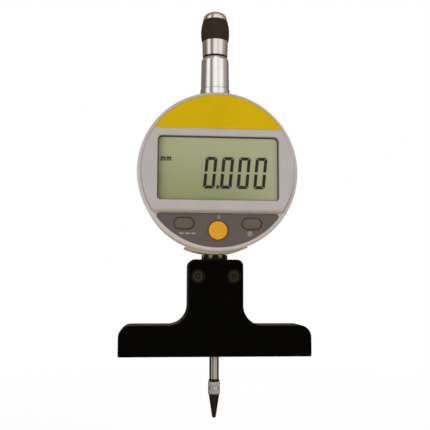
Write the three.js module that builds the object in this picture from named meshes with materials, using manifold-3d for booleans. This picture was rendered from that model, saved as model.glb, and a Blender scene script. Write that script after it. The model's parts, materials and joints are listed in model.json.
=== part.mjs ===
import * as THREE from 'three';
import { mergeVertices } from 'three/addons/utils/BufferGeometryUtils.js';
import Module from 'manifold-3d';

const wasm = await Module();
wasm.setup();

// Digital depth gauge in millimetres, +Z up, its display facing -Y.
// The origin is the centre of the base's measuring face, on the spindle's axis.

// Fits and gaps
const seatGap = 0.1;
const slideFit = 0.06;
const pressFit = 0.05;
const screwFit = 0.2;
const runningGap = 0.4;
const cutOverrun = 1;

// Base: a T-shaped block with a clamping neck
const baseLength = 80;
const baseDepth = 16;
const baseHeight = 40;
const armHeight = 12.9;
const neckWidth = 22.9;
const neckFillet = 8;
const armCornerRadius = 5;
const neckCornerRadius = 2.7;
const footCornerRadius = 0.8;
const baseEdgeBreak = 0.4;
const clampSlitWidth = 1.2;
const clampSlitDepth = 18;
const clampScrewSpacing = 15;
const clampScrewDrop = 7;
const clampScrewDiameter = 3;
const clampScrewLength = 11.5;
const clampHeadDiameter = 5;
const clampHeadHeight = 3;
const clampHeadSink = 0.3;
const clampSocketWidth = 2.6;
const clampSocketDepth = 1.6;
const screwEdgeBreak = 0.3;

// Spindle, measuring travel and contact point
const spindleDiameter = 4;
const travel = 25.4;
const tipOvertravel = 0.3;
const washerDiameter = 4.55;
const washerThickness = 0.65;
const ferruleDiameter = 5.1;
const ferruleLength = 5.3;
const ferruleToothCount = 20;
const ferruleToothDepth = 0.22;
const ferruleEdgeBreak = 0.3;
const coneLength = 9.6;
const coneDiameter = 4.4;
const coneTipRadius = 0.85;
const contactStudDiameter = 2.4;
const contactStudLength = 5;
const coneStudDiameter = 1.9;
const coneStudLength = 2.2;

// Stem, its ring nut and the lower bush
const stemDiameter = 8;
const stemWall = 1;
const stemFlangeDiameter = 10.4;
const stemFlangeThickness = 1.2;
const stemChamfer = 0.4;
const collarDiameter = 11.1;
const collarHeight = 2;
const collarNotchCount = 8;
const collarNotchWidth = 1.5;
const collarNotchDepth = 0.8;
const collarNotchHeight = 0.9;
const lowerBushLength = 9;
const stopRingHeight = 2;
const stopRingDiameter = 9;

// Case
const windowRimMargin = 4.745;
const caseInset = 1.15;
const caseWall = 1.6;
const caseWebThickness = 1.2;
const chinRise = 0.5;
const chinWidth = 26.3;
const chinCornerRadius = 1;
const lowerBossDiameter = 13;
const lowerBossHeight = 1.9;
const upperBossDiameter = 14.8;
const upperBossRise = 0.6;
const upperBossDrop = 1.2;
const webWindowMargin = 0.8;

// Rear cover, its screws and the battery
const coverThickness = 2.2;
const coverEdgeBreak = 0.7;
const coverScrewInset = 4.6;
const coverScrewClearance = 0.5;
const coverScrewDiameter = 2;
const coverHeadDiameter = 4.2;
const coverHeadHeight = 1.1;
const coverBossDiameter = 6.4;
const bezelBossDiameter = 4.4;
const driverSlotWidth = 0.6;
const driverSlotDepth = 0.5;
const batteryDiameter = 20;
const batteryThickness = 3.2;
const batteryEdgeRadius = 0.4;
const batteryCupWall = 0.9;
const batteryCupFloor = 0.6;
const batteryCupClearance = 0.55;
const lidMargin = 1.3;
const lidThickness = 1.3;
const coinSlotLength = 12;
const coinSlotWidth = 1.8;
const coinSlotDepth = 0.7;
const sealWireDiameter = 0.5;
const leafThickness = 0.25;
const leafWidth = 5;
const leafLength = 14;
const sideLeafLength = 9;

// Front bezel: rim, raised panel, window opening and keypad dish
const sealThickness = 0.6;
const sealWidth = 1.4;
const bezelWall = 1.4;
const rimRound = 1.5;
const rimTaper = 0.35;
const panelInset = 1.9;
const panelRise = 2.4;
const panelEdgeBreak = 0.3;
const panelFootMargin = 3.3;
const slopeHeight = 1.6;
const filmThickness = 0.2;
const filmInset = 0.2;
const filmMargin = 3.05;
const windowWidth = 49.6;
const windowHeight = 26.3;
const windowRise = 0.8;
const windowTopRadius = 2;
const windowBottomRadius = 1.3;
const windowRecess = 0.9;
const windowThickness = 1.2;
const gasketThickness = 0.6;
const gasketInset = 0.4;
const gasketMargin = 1;
const lcdMargin = 1.5;
const lcdThickness = 1.8;
const lcdStep = 1.6;
const holderThickness = 1;
const holderBar = 2.4;
const stripWidth = 1.6;
const stripInset = 2.6;
const boardThickness = 1.6;
const boardInset = 2.35;
const boardRearClearance = 0.6;
const boardNotchClearance = 0.6;

// Keypad
const keypadInset = 1.85;
const keypadCornerRadius = 1.2;
const keypadDrop = 0.2;
const keypadRecess = 0.8;
const keypadThickness = 0.6;
const pillWidth = 8;
const pillHeight = 4.6;
const pillInset = 11;
const pillDrop = 4.3;
const roundButtonTopGap = 3.22;
const roundButtonFootGap = 2.97;
const buttonProud = 0.8;
const buttonTravel = 0.5;
const buttonEdgeBreak = 0.35;
const buttonCrown = 0.25;
const buttonFlange = 0.6;
const buttonFlangeThickness = 0.6;
const buttonClearance = 0.2;
const matThickness = 1;
const matInset = 0.5;
const matMargin = 0.35;
const domeRadiusShare = 0.8;

// Carrier, guide, scale, reader and spring
const carrierHeight = 10;
const carrierWidth = 11;
const carrierFrontDepth = 5.6;
const carrierRearWall = 1.2;
const carrierSlitWidth = 0.8;
const carrierScrewDiameter = 1.6;
const carrierHeadDiameter = 2.8;
const carrierHeadHeight = 1.2;
const carrierScrewDepth = 3.9;
const carrierScrewRiseShare = 0.25;
const guidePinDiameter = 2;
const guidePinReach = 12.5;
const guidePinSeat = 2;
const guidePinRiseShare = 0.7;
const railWidth = 5;
const railRearDepth = 2.2;
const railTab = 4;
const railScrewDiameter = 1.8;
const railHeadDiameter = 3.2;
const railHeadHeight = 1;
const scaleWidth = 5.6;
const scaleThickness = 1;
const scaleOverlap = 2.6;
const scaleDrop = 2;
const scaleOffset = 1.3;
const scaleArmHeight = 5.5;
const scaleArmThickness = 1.8;
const scaleFaceDepth = 4.6;
const readerHeight = 8;
const readerWidth = 7.2;
const readerThickness = 2.9;
const connectorHeight = 4;
const connectorWidth = 5;
const springWireDiameter = 0.56;
const springClearance = 0.62;
const springTurns = 10;

// Upper nut, tube and bush
const nutFootDiameter = 14.5;
const nutTopDiameter = 13;
const nutHeight = 5.5;
const nutChamfer = 0.7;
const nutSpigotDiameter = 10.4;
const tubeLength = 14.2;
const tubeFootDiameter = 12.5;
const tubeTopDiameter = 12.1;
const tubeTopChamfer = 0.7;
const tubeTopChamferHeight = 1.3;
const tubeBore = 8;
const tubeEndWall = 1.5;
const tubeSpigotDiameter = 9.4;
const tubeSpigotLength = 3.6;
const upperBushLength = 10;

// Lifting knob
const knobGap = 0.6;
const skirtHeight = 6.85;
const skirtFootDiameter = 11;
const skirtTopDiameter = 11.7;
const skirtEdgeBreak = 0.25;
const gripHeight = 9.2;
const gripFootDiameter = 11.9;
const gripWaistDiameter = 12.5;
const gripTopDiameter = 11;
const gripWaistShare = 0.52;
const knobCoreDiameter = 8.4;
const knobStudDiameter = 2.6;
const knobStudLength = 8.2;
const domeDiameter = 10.6;
const domeHeight = 4.1;
const domeEdgeRadius = 2.6;
const domeStudDiameter = 4;
const domeStudLength = 3;

// Sizes that follow the window, round which the bezel and the case are drawn, and the spindle
const bezelRadius = Math.hypot(windowWidth / 2, windowHeight / 2 + Math.abs(windowRise)) + windowRimMargin;
const caseRadius = bezelRadius - caseInset;
const caseInnerRadius = caseRadius - caseWall;
const chinRadius = bezelRadius + chinRise;
const coverScrewCircle = caseRadius - coverScrewInset;
const panelRadius = bezelRadius - panelInset;
const keypadRadius = bezelRadius - keypadInset;
const boardRadius = bezelRadius - bezelWall - boardInset;
const matRadius = boardRadius - matInset;
const spindleRadius = spindleDiameter / 2;
const bushBore = spindleDiameter + 2 * slideFit;
const freeBore = spindleDiameter + 2 * runningGap;
const stemBore = stemDiameter - 2 * stemWall;
const passageDiameter = Math.max(ferruleDiameter, washerDiameter) + 2 * runningGap;
const springMeanDiameter = spindleDiameter + springWireDiameter + 2 * springClearance;
const lidDiameter = batteryDiameter + 2 * lidMargin;
const batteryCupRadius = batteryDiameter / 2 + pressFit + runningGap;
const scaleLength = travel + scaleOverlap;

// Places along Z, worked up from the measuring face
const tipDepth = travel + tipOvertravel;
const contactTopZ = -tipDepth + coneLength + ferruleLength + washerThickness + 2 * seatGap;
const spindleFootZ = contactTopZ + seatGap;
const stemFootZ = spindleFootZ + travel + runningGap;
const collarFootZ = baseHeight + seatGap;
const caseZ = collarFootZ + collarHeight + seatGap + chinRadius;
const lowerBossTopZ = caseZ - caseInnerRadius + lowerBossHeight;
const stemFlangeZ = lowerBossTopZ + seatGap;
const stemTopZ = stemFlangeZ + stemFlangeThickness;
const stopRingZ = stemTopZ + seatGap;
const carrierZ = stopRingZ + stopRingHeight + seatGap;
const carrierTopZ = carrierZ + carrierHeight;
const upperBossTopZ = caseZ + caseRadius + upperBossRise;
const upperBossFootZ = caseZ + caseInnerRadius - upperBossDrop;
const nutZ = upperBossTopZ + seatGap;
const nutTopZ = nutZ + nutHeight;
const tubeZ = nutTopZ + seatGap;
const tubeTopZ = tubeZ + tubeLength;
const knobZ = tubeTopZ + knobGap;
const spindleTopZ = knobZ - seatGap;
const gripZ = knobZ + skirtHeight + seatGap;
const gripTopZ = gripZ + gripHeight;
const domeZ = gripTopZ + seatGap;

// Places along Y, worked forwards and backwards from the spindle's axis
const readerFrontY = -scaleFaceDepth - runningGap - readerThickness;
const webRearY = readerFrontY - seatGap;
const caseFrontY = webRearY - caseWebThickness;
const bezelRearY = caseFrontY - sealThickness - 2 * seatGap;
const boardRearY = caseFrontY - boardRearClearance;
const boardFrontY = boardRearY - boardThickness;
const holderFrontY = boardFrontY - seatGap - holderThickness;
const lcdFrontY = holderFrontY - seatGap - lcdThickness;
const gasketFrontY = lcdFrontY - seatGap - gasketThickness;
const bezelInnerY = gasketFrontY - seatGap;
const rimFrontY = bezelInnerY - bezelWall;
const panelFrontY = rimFrontY - panelRise;
const windowFrontY = panelFrontY + windowRecess;
const keypadFloorY = rimFrontY + keypadRecess;
const keypadRearY = keypadFloorY - seatGap;
const keypadFrontY = keypadRearY - keypadThickness;
const buttonFrontY = keypadFrontY - buttonProud;
const buttonFlangeY = bezelInnerY + seatGap;
const buttonRearY = buttonFlangeY + buttonFlangeThickness;
const domeTopY = buttonRearY + buttonTravel + seatGap;
const carrierRearY = spindleRadius + carrierRearWall;
const cupFrontY = carrierRearY + batteryCupClearance;
const cupFloorY = cupFrontY + batteryCupFloor;
const minusLeafY = cupFloorY + seatGap;
const batteryFrontY = minusLeafY + leafThickness + seatGap;
const batteryRearY = batteryFrontY + batteryThickness;
const lidFrontY = batteryRearY + seatGap;
const coverRearY = lidFrontY + lidThickness;
const coverFrontY = coverRearY - coverThickness;
const caseRearY = coverFrontY - seatGap;

// Places on the face and the rear cover
const batteryZ = upperBossFootZ - batteryCupClearance - batteryCupWall - batteryCupRadius;
const windowZ = caseZ + windowRise;
const filmChord = windowRise + windowHeight / 2 + filmMargin;
const panelFoot = windowRise - windowHeight / 2 - panelFootMargin;
const slopeFootRise = panelFoot - slopeHeight;
const keypadChord = slopeFootRise - keypadDrop;
const roundButtonDiameter = keypadRadius + keypadChord - roundButtonTopGap - roundButtonFootGap;
const clampPlaces = [-clampScrewSpacing / 2, clampScrewSpacing / 2];
const clampScrewZ = baseHeight - clampScrewDrop;
const buttonPlaces = {
  left_button: [pillInset - windowWidth / 2, caseZ + keypadChord - pillDrop],
  right_button: [windowWidth / 2 - pillInset, caseZ + keypadChord - pillDrop],
  zero_button: [0, caseZ + keypadChord - roundButtonTopGap - roundButtonDiameter / 2],
};
const coverScrewReach = windowHeight / 2 + lcdMargin + bezelBossDiameter / 2 + coverScrewClearance;
const coverScrewPlaces = [[1, 1], [-1, 1], [-1, -1], [1, -1]].map(([side, end]) => {
  const rise = windowRise + end * coverScrewReach;
  return [side * Math.sqrt(coverScrewCircle ** 2 - rise ** 2), caseZ + rise];
});
const frames = {
  x: new THREE.Matrix4().makeBasis(
    new THREE.Vector3(0, 1, 0), new THREE.Vector3(0, 0, 1), new THREE.Vector3(1, 0, 0)),
  y: new THREE.Matrix4().makeBasis(
    new THREE.Vector3(1, 0, 0), new THREE.Vector3(0, 0, 1), new THREE.Vector3(0, -1, 0)),
  z: new THREE.Matrix4(),
};
const roundSides = { fine: 12, small: 20, middle: 28, large: 48 };

// Finishes
const finishes = {
  blackOxide: { color: 0x0d0b08, roughness: 0.55, metalness: 0.4 },
  darkSteel: { color: 0x24201c, roughness: 0.4, metalness: 0.7 },
  groundSteel: { color: 0xb9b7b2, roughness: 0.25, metalness: 1 },
  chrome: { color: 0xd8d7d4, roughness: 0.12, metalness: 1 },
  bronze: { color: 0xa8783c, roughness: 0.35, metalness: 1 },
  castAlloy: { color: 0x9c9388, roughness: 0.6, metalness: 0.6 },
  greyPlastic: { color: 0xb0aaa6, roughness: 0.5, metalness: 0 },
  yellowFilm: { color: 0xc4a20a, roughness: 0.4, metalness: 0 },
  darkPlastic: { color: 0x5f5855, roughness: 0.5, metalness: 0 },
  pillPlastic: { color: 0x62554c, roughness: 0.5, metalness: 0 },
  orangePlastic: { color: 0xd69624, roughness: 0.45, metalness: 0 },
  clearPlastic: { color: 0xdfe4dc, roughness: 0.05, metalness: 0, transparent: true, opacity: 0.3 },
  displayGlass: { color: 0x98a078, roughness: 0.2, metalness: 0 },
  blackRubber: { color: 0x1c1814, roughness: 0.85, metalness: 0 },
  gripBlack: { color: 0x34281e, roughness: 0.7, metalness: 0 },
  greenBoard: { color: 0x1f5a36, roughness: 0.5, metalness: 0 },
  whitePlastic: { color: 0xd9d7d0, roughness: 0.6, metalness: 0 },
  scaleGlass: { color: 0xa9b4b8, roughness: 0.1, metalness: 0.2 },
};

// Solids from three.js geometry
function solidOf(geometry) {
  geometry.deleteAttribute('normal');
  geometry.deleteAttribute('uv');
  const welded = mergeVertices(geometry);
  const corners = welded.index.array;
  const triangles = [];
  for (let i = 0; i < corners.length; i += 3) {
    const [a, b, c] = corners.slice(i, i + 3);
    if (a !== b && b !== c && c !== a) triangles.push(a, b, c);
  }
  return new wasm.Manifold(new wasm.Mesh({
    numProp: 3,
    vertProperties: Float32Array.from(welded.attributes.position.array),
    triVerts: Uint32Array.from(triangles),
  }));
}

function geometryOf(solid) {
  const { vertProperties, triVerts } = solid.getMesh();
  const geometry = new THREE.BufferGeometry();
  geometry.setAttribute('position', new THREE.BufferAttribute(vertProperties, 3));
  geometry.setIndex(new THREE.BufferAttribute(triVerts, 1));
  geometry.computeVertexNormals();
  return geometry;
}

const join = (first, ...rest) => rest.reduce((whole, piece) => whole.add(piece), first);
const cut = (first, ...rest) => rest.reduce((whole, piece) => whole.subtract(piece), first);

// Outlines: each corner is [across, up, radius]
function arcPoints(across, up, radius, from, to, steps) {
  return Array.from({ length: steps + 1 }, (_, i) => {
    const turn = from + ((to - from) * i) / steps;
    return new THREE.Vector2(across + radius * Math.cos(turn), up + radius * Math.sin(turn));
  });
}

function roundedCorner(before, corner, after, stepsPerTurn) {
  const point = new THREE.Vector2(corner[0], corner[1]);
  if (!corner[2]) return [point];
  const back = new THREE.Vector2(before[0], before[1]).sub(point);
  const ahead = new THREE.Vector2(after[0], after[1]).sub(point);
  const reach = Math.min(back.length(), ahead.length()) / 2;
  back.normalize();
  ahead.normalize();
  const halfAngle = Math.acos(THREE.MathUtils.clamp(back.dot(ahead), -1, 1)) / 2;
  const radius = Math.min(corner[2], reach * Math.tan(halfAngle));
  const middle = back.clone().add(ahead).normalize().multiplyScalar(radius / Math.sin(halfAngle)).add(point);
  const start = back.clone().multiplyScalar(radius / Math.tan(halfAngle)).add(point).sub(middle);
  const end = ahead.clone().multiplyScalar(radius / Math.tan(halfAngle)).add(point).sub(middle);
  const from = start.angle();
  const sweep = Math.atan2(start.cross(end), start.dot(end));
  const steps = Math.max(1, Math.round((Math.abs(sweep) / (2 * Math.PI)) * stepsPerTurn));
  return arcPoints(middle.x, middle.y, radius, from, from + sweep, steps);
}

function outline(corners, stepsPerTurn = 24) {
  const count = corners.length;
  const points = corners.flatMap((corner, i) => roundedCorner(
    corners[(i + count - 1) % count], corner, corners[(i + 1) % count], stepsPerTurn));
  return new THREE.Shape(points);
}

function rectangle(across, up, width, height, radii = [0, 0, 0, 0], stepsPerTurn = 24) {
  const [left, right] = [across - width / 2, across + width / 2];
  const [low, high] = [up - height / 2, up + height / 2];
  return outline([
    [left, low, radii[0]], [right, low, radii[1]], [right, high, radii[2]], [left, high, radii[3]],
  ], stepsPerTurn);
}

// The part of a disc above a chord, with its two corners rounded
function discAbove(radius, chord, cornerRadius, steps) {
  const up = chord + cornerRadius;
  const across = Math.sqrt((radius - cornerRadius) ** 2 - up ** 2);
  const turn = Math.atan2(up, across);
  const cornerSteps = cornerRadius > 0 ? 4 : 1;
  return [
    ...arcPoints(0, 0, radius, turn, Math.PI - turn, steps),
    ...arcPoints(-across, up, cornerRadius, Math.PI - turn, 1.5 * Math.PI, cornerSteps).slice(1),
    ...arcPoints(across, up, cornerRadius, -Math.PI / 2, turn, cornerSteps).slice(0, -1),
  ].filter((point, i, all) => point.distanceTo(all[(i + 1) % all.length]) > 0);
}

function discSegment(radius, chord, above, cornerRadius = 0, steps = roundSides.middle) {
  const points = discAbove(radius, above ? chord : -chord, cornerRadius, steps);
  const placed = points.map((point) => new THREE.Vector2(point.x, caseZ + (above ? point.y : -point.y)));
  return new THREE.Shape(above ? placed : placed.reverse());
}

// An outline carried along X, Y or Z, with its end edges broken if asked
function prism(shape, axis, from, to, edgeBreak = 0) {
  const geometry = new THREE.ExtrudeGeometry(shape, {
    depth: to - from - 2 * edgeBreak,
    bevelEnabled: edgeBreak > 0,
    bevelThickness: edgeBreak,
    bevelSize: edgeBreak,
    bevelOffset: -edgeBreak,
    bevelSegments: 1,
    curveSegments: 1,
  });
  geometry.translate(0, 0, edgeBreak + (axis === 'y' ? -to : from));
  geometry.applyMatrix4(frames[axis]);
  return solidOf(geometry);
}

// A profile of [radius, height] pairs turned about X, Y or Z, with its axis through a place
function turned(profile, axis, place = [0, 0, 0], sides = roundSides.small) {
  const points = profile.map(([radius, height]) => new THREE.Vector2(radius, height));
  const geometry = new THREE.LatheGeometry(points, sides);
  if (axis === 'z') geometry.rotateX(Math.PI / 2);
  if (axis === 'x') geometry.rotateZ(-Math.PI / 2);
  geometry.translate(...place);
  return solidOf(geometry);
}

const rod = (diameter, from, to, axis, place, sides) => turned(
  [[0, from], [diameter / 2, from], [diameter / 2, to], [0, to]], axis, place, sides);

// A hole's flats, not its corners, lie on its diameter, so that a rod of any count of sides fits
const hole = (diameter, from, to, axis, place, sides = roundSides.small) => rod(
  diameter / Math.cos(Math.PI / sides), from, to, axis, place, sides);

function sleeve(outer, bore, from, to, axis, place, sides = roundSides.small) {
  const inner = bore / Math.cos(Math.PI / sides) / 2;
  return turned([[inner, from], [outer / 2, from], [outer / 2, to], [inner, to], [inner, from]],
    axis, place, sides);
}

const block = (x, y, z) => prism(outline([
  [x[0], y[0], 0], [x[1], y[0], 0], [x[1], y[1], 0], [x[0], y[1], 0],
]), 'z', z[0], z[1]);

const hexagon = (across, up, width) => new THREE.Shape(
  arcPoints(across, up, width / Math.sqrt(3), 0, 2 * Math.PI, 6).slice(1));

// Base with its stem bore, contact passage, clamp slit and screw seats
function depthBase() {
  const half = baseLength / 2;
  const neck = neckWidth / 2;
  const body = prism(outline([
    [-half, 0, footCornerRadius], [half, 0, footCornerRadius],
    [half, armHeight, armCornerRadius], [neck, armHeight, neckFillet],
    [neck, baseHeight, neckCornerRadius], [-neck, baseHeight, neckCornerRadius],
    [-neck, armHeight, neckFillet], [-half, armHeight, armCornerRadius],
  ]), 'y', -baseDepth / 2, baseDepth / 2, baseEdgeBreak);
  const stemHole = hole(stemDiameter + 2 * pressFit, stemFootZ - seatGap, baseHeight + cutOverrun, 'z');
  const passage = hole(passageDiameter, -cutOverrun, stemFootZ, 'z');
  const slit = block(
    [-neck - cutOverrun, neck + cutOverrun],
    [-clampSlitWidth / 2, clampSlitWidth / 2],
    [baseHeight - clampSlitDepth, baseHeight + cutOverrun]);
  const seats = clampPlaces.flatMap((x) => [
    hole(clampHeadDiameter + 2 * screwFit, -baseDepth / 2 - cutOverrun,
      -baseDepth / 2 + clampHeadSink + clampHeadHeight + seatGap, 'y', [x, 0, clampScrewZ]),
    hole(clampScrewDiameter + 2 * screwFit, -baseDepth / 2, baseDepth / 2 + cutOverrun,
      'y', [x, 0, clampScrewZ], roundSides.fine),
  ]);
  return cut(body, stemHole, passage, slit, ...seats);
}

function clampScrew(x) {
  const front = clampHeadSink - baseDepth / 2;
  const under = front + clampHeadHeight;
  const end = Math.min(under + clampScrewLength, baseDepth / 2 - seatGap);
  const head = clampHeadDiameter / 2;
  const shank = clampScrewDiameter / 2;
  const body = turned([
    [0, front], [head - screwEdgeBreak, front], [head, front + screwEdgeBreak], [head, under],
    [shank, under], [shank, end - screwEdgeBreak], [shank - screwEdgeBreak, end], [0, end],
  ], 'y', [x, 0, clampScrewZ]);
  const socket = prism(hexagon(x, clampScrewZ, clampSocketWidth), 'y',
    front - cutOverrun, front + clampSocketDepth);
  return cut(body, socket);
}

// Stem, ring nut, lower bush and stop ring
function stem() {
  const radius = stemDiameter / 2;
  const flange = stemFlangeDiameter / 2;
  const bore = stemBore / 2;
  return turned([
    [bore, stemFootZ], [radius - stemChamfer, stemFootZ], [radius, stemFootZ + stemChamfer],
    [radius, stemFlangeZ], [flange, stemFlangeZ], [flange, stemTopZ], [bore, stemTopZ], [bore, stemFootZ],
  ], 'z');
}

function stemCollar() {
  const ring = sleeve(collarDiameter, stemDiameter + 2 * pressFit,
    collarFootZ, collarFootZ + collarHeight, 'z', [0, 0, 0], roundSides.middle);
  const reach = collarDiameter / 2;
  const top = collarFootZ + collarHeight;
  const notches = Array.from({ length: collarNotchCount }, (_, i) => {
    const bar = new THREE.BoxGeometry(collarNotchWidth, collarNotchDepth + cutOverrun,
      collarNotchHeight + cutOverrun);
    bar.translate(0, (collarNotchDepth - cutOverrun) / 2 - reach,
      top + (cutOverrun - collarNotchHeight) / 2);
    bar.rotateZ(((i + 0.5) * 2 * Math.PI) / collarNotchCount);
    return solidOf(bar);
  });
  return cut(ring, ...notches);
}

const lowerBush = () => sleeve(stemBore - 2 * pressFit, bushBore,
  stemFootZ + seatGap, stemFootZ + seatGap + lowerBushLength, 'z');

const stopRing = () => sleeve(stopRingDiameter, freeBore, stopRingZ, stopRingZ + stopRingHeight, 'z');

// Case: a ring with a front web, bosses for the stem, the upper nut and the cover screws
function chinOutline() {
  const half = chinWidth / 2;
  const turn = Math.asin(half / chinRadius);
  const points = arcPoints(0, caseZ, chinRadius, -Math.PI / 2 - turn, -Math.PI / 2 + turn, 16);
  const low = points[0].y;
  return new THREE.Shape([...points,
    new THREE.Vector2(half - chinCornerRadius, low + chinCornerRadius),
    new THREE.Vector2(chinCornerRadius - half, low + chinCornerRadius)]);
}

function mainCase() {
  const place = [0, 0, caseZ];
  const shell = rod(2 * caseRadius, caseFrontY, caseRearY, 'y', place, roundSides.large);
  const chin = prism(chinOutline(), 'y', caseFrontY, caseRearY);
  const hollow = rod(2 * caseInnerRadius, webRearY, caseRearY + cutOverrun, 'y', place, roundSides.large);
  const lowerBoss = rod(lowerBossDiameter, caseZ - caseInnerRadius - caseWall / 2, lowerBossTopZ, 'z');
  const upperBoss = rod(upperBossDiameter, upperBossFootZ, upperBossTopZ, 'z', [0, 0, 0], roundSides.middle);
  const posts = coverScrewPlaces.map(([x, z]) => rod(
    coverBossDiameter, caseFrontY + caseWebThickness / 2, caseRearY, 'y', [x, 0, z], roundSides.fine));
  const frontLimit = block(
    [-caseRadius, caseRadius], [caseFrontY, caseRearY],
    [caseZ - chinRadius - cutOverrun, upperBossTopZ + cutOverrun]);
  const screwHoles = coverScrewPlaces.map(([x, z]) => hole(
    coverScrewDiameter + 2 * screwFit, caseFrontY - cutOverrun, caseRearY + cutOverrun,
    'y', [x, 0, z], roundSides.fine));
  const stemHole = hole(stemDiameter + 2 * pressFit, caseZ - chinRadius - cutOverrun,
    lowerBossTopZ + cutOverrun, 'z');
  const nutHole = hole(nutSpigotDiameter + 2 * pressFit, upperBossFootZ - cutOverrun,
    upperBossTopZ + cutOverrun, 'z');
  const [readerX, readerZ] = readerPlace();
  const webWindow = prism(rectangle(readerX, readerZ,
    connectorWidth + 2 * webWindowMargin, connectorHeight + 2 * webWindowMargin),
  'y', caseFrontY - cutOverrun, webRearY + cutOverrun);
  const railHoles = railScrewHeights().map((z) => hole(
    railScrewDiameter + 2 * screwFit, caseFrontY - cutOverrun, webRearY + cutOverrun,
    'y', [railMiddle(), 0, z], roundSides.fine));
  const whole = join(cut(join(shell, chin), hollow), lowerBoss, upperBoss, ...posts);
  return cut(whole.intersect(frontLimit), stemHole, nutHole, webWindow, ...screwHoles, ...railHoles);
}

const caseSeal = () => sleeve(2 * (caseRadius - seatGap), 2 * (caseRadius - seatGap - sealWidth),
  bezelRearY + seatGap, caseFrontY - seatGap, 'y', [0, 0, caseZ], roundSides.middle);

// Rear cover with battery cup, lid hole and screw seats
function rearCover() {
  const place = [0, 0, caseZ];
  const lidPlace = [0, 0, batteryZ];
  const plate = turned([
    [0, coverFrontY], [caseRadius, coverFrontY], [caseRadius, coverRearY - coverEdgeBreak],
    [caseRadius - coverEdgeBreak, coverRearY], [0, coverRearY],
  ], 'y', place, roundSides.large);
  const cup = rod(2 * (batteryCupRadius + batteryCupWall), cupFrontY,
    coverFrontY + coverThickness / 2, 'y', lidPlace, roundSides.middle);
  const well = hole(2 * batteryCupRadius, cupFloorY, coverRearY + cutOverrun,
    'y', lidPlace, roundSides.middle);
  const lidSeat = hole(lidDiameter + 2 * screwFit, lidFrontY - sealWireDiameter - 2 * seatGap,
    coverRearY + cutOverrun, 'y', lidPlace, roundSides.middle);
  const seats = coverScrewPlaces.flatMap(([x, z]) => [
    hole(coverHeadDiameter + 2 * screwFit, coverRearY - coverHeadHeight - seatGap,
      coverRearY + cutOverrun, 'y', [x, 0, z], roundSides.fine),
    hole(coverScrewDiameter + 2 * screwFit, coverFrontY - cutOverrun, coverRearY + cutOverrun,
      'y', [x, 0, z], roundSides.fine),
  ]);
  return cut(join(plate, cup), well, lidSeat, ...seats);
}

function coverScrew([x, z]) {
  const head = coverHeadDiameter / 2;
  const shank = coverScrewDiameter / 2;
  const under = coverRearY - coverHeadHeight;
  const end = (bezelInnerY + caseFrontY) / 2;
  const body = turned([
    [0, end], [shank, end], [shank, under], [head, under],
    [head, coverRearY - screwEdgeBreak], [head - screwEdgeBreak, coverRearY], [0, coverRearY],
  ], 'y', [x, 0, z], roundSides.fine);
  const slots = [[2 * head, driverSlotWidth], [driverSlotWidth, 2 * head]].map(([width, height]) => prism(
    rectangle(x, z, Math.min(width, 1.3 * head), Math.min(height, 1.3 * head)),
    'y', coverRearY - driverSlotDepth, coverRearY + cutOverrun));
  return cut(body, ...slots);
}

// Battery, its lid with a coin slot, the seal ring and two contact leaves
function batteryLid() {
  const radius = lidDiameter / 2;
  const lid = turned([
    [0, lidFrontY], [radius, lidFrontY], [radius, coverRearY - screwEdgeBreak],
    [radius - screwEdgeBreak, coverRearY], [0, coverRearY],
  ], 'y', [0, 0, batteryZ], roundSides.middle);
  const slot = prism(rectangle(0, batteryZ, coinSlotLength, coinSlotWidth,
    Array(4).fill(coinSlotWidth / 2)), 'y', coverRearY - coinSlotDepth, coverRearY + cutOverrun);
  return cut(lid, slot);
}

function lidSeal() {
  const wire = sealWireDiameter / 2;
  const section = arcPoints(lidDiameter / 2 - wire, lidFrontY - seatGap - wire, wire, 0, 2 * Math.PI, 6);
  return turned(section.map((point) => [point.x, point.y]), 'y', [0, 0, batteryZ]);
}

function battery() {
  const radius = batteryDiameter / 2;
  return turned([
    [0, batteryFrontY], [radius - 2 * batteryEdgeRadius, batteryFrontY],
    [radius - batteryEdgeRadius, batteryFrontY + batteryEdgeRadius],
    [radius, batteryFrontY + 2 * batteryEdgeRadius], [radius, batteryRearY - batteryEdgeRadius],
    [radius - batteryEdgeRadius, batteryRearY], [0, batteryRearY],
  ], 'y', [0, 0, batteryZ]);
}

const minusLeaf = () => prism(rectangle(0, batteryZ, leafWidth, leafLength,
  Array(4).fill(leafWidth / 4)), 'y', minusLeafY, minusLeafY + leafThickness);

function plusLeaf() {
  const inner = batteryDiameter / 2 + seatGap / 2;
  const outer = inner + leafThickness;
  const turn = sideLeafLength / outer / 2;
  const leaf = new THREE.Shape([
    ...arcPoints(0, batteryZ, outer, -turn, turn, 6),
    ...arcPoints(0, batteryZ, inner, turn, -turn, 6),
  ]);
  return prism(leaf, 'y', batteryFrontY, batteryRearY);
}

// Front bezel: a shell with a raised panel, a sloped step, a window opening and a keypad dish
function buttonOutline(name, margin) {
  const [x, z] = buttonPlaces[name];
  if (name === 'zero_button') {
    const radius = roundButtonDiameter / 2 + margin;
    return new THREE.Shape(arcPoints(x, z, radius, 0, 2 * Math.PI, roundSides.small).slice(1));
  }
  const height = pillHeight + 2 * margin;
  return rectangle(x, z, pillWidth + 2 * margin, height, Array(4).fill(height / 2));
}

const windowOutline = (margin) => rectangle(0, windowZ,
  windowWidth + 2 * margin, windowHeight + 2 * margin,
  [windowBottomRadius, windowBottomRadius, windowTopRadius, windowTopRadius]
    .map((radius) => Math.max(radius + margin, windowBottomRadius / 2)));

function bezelShell() {
  const inner = bezelRadius - bezelWall;
  const rim = arcPoints(bezelRadius - rimRound, rimFrontY + rimRound, rimRound, -Math.PI / 2, 0, 4);
  return turned([
    [0, rimFrontY], ...rim.map((point) => [point.x, point.y]),
    [bezelRadius - rimTaper, bezelRearY], [inner, bezelRearY], [inner, bezelInnerY], [0, bezelInnerY],
  ], 'y', [0, 0, caseZ], roundSides.large);
}

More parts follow.
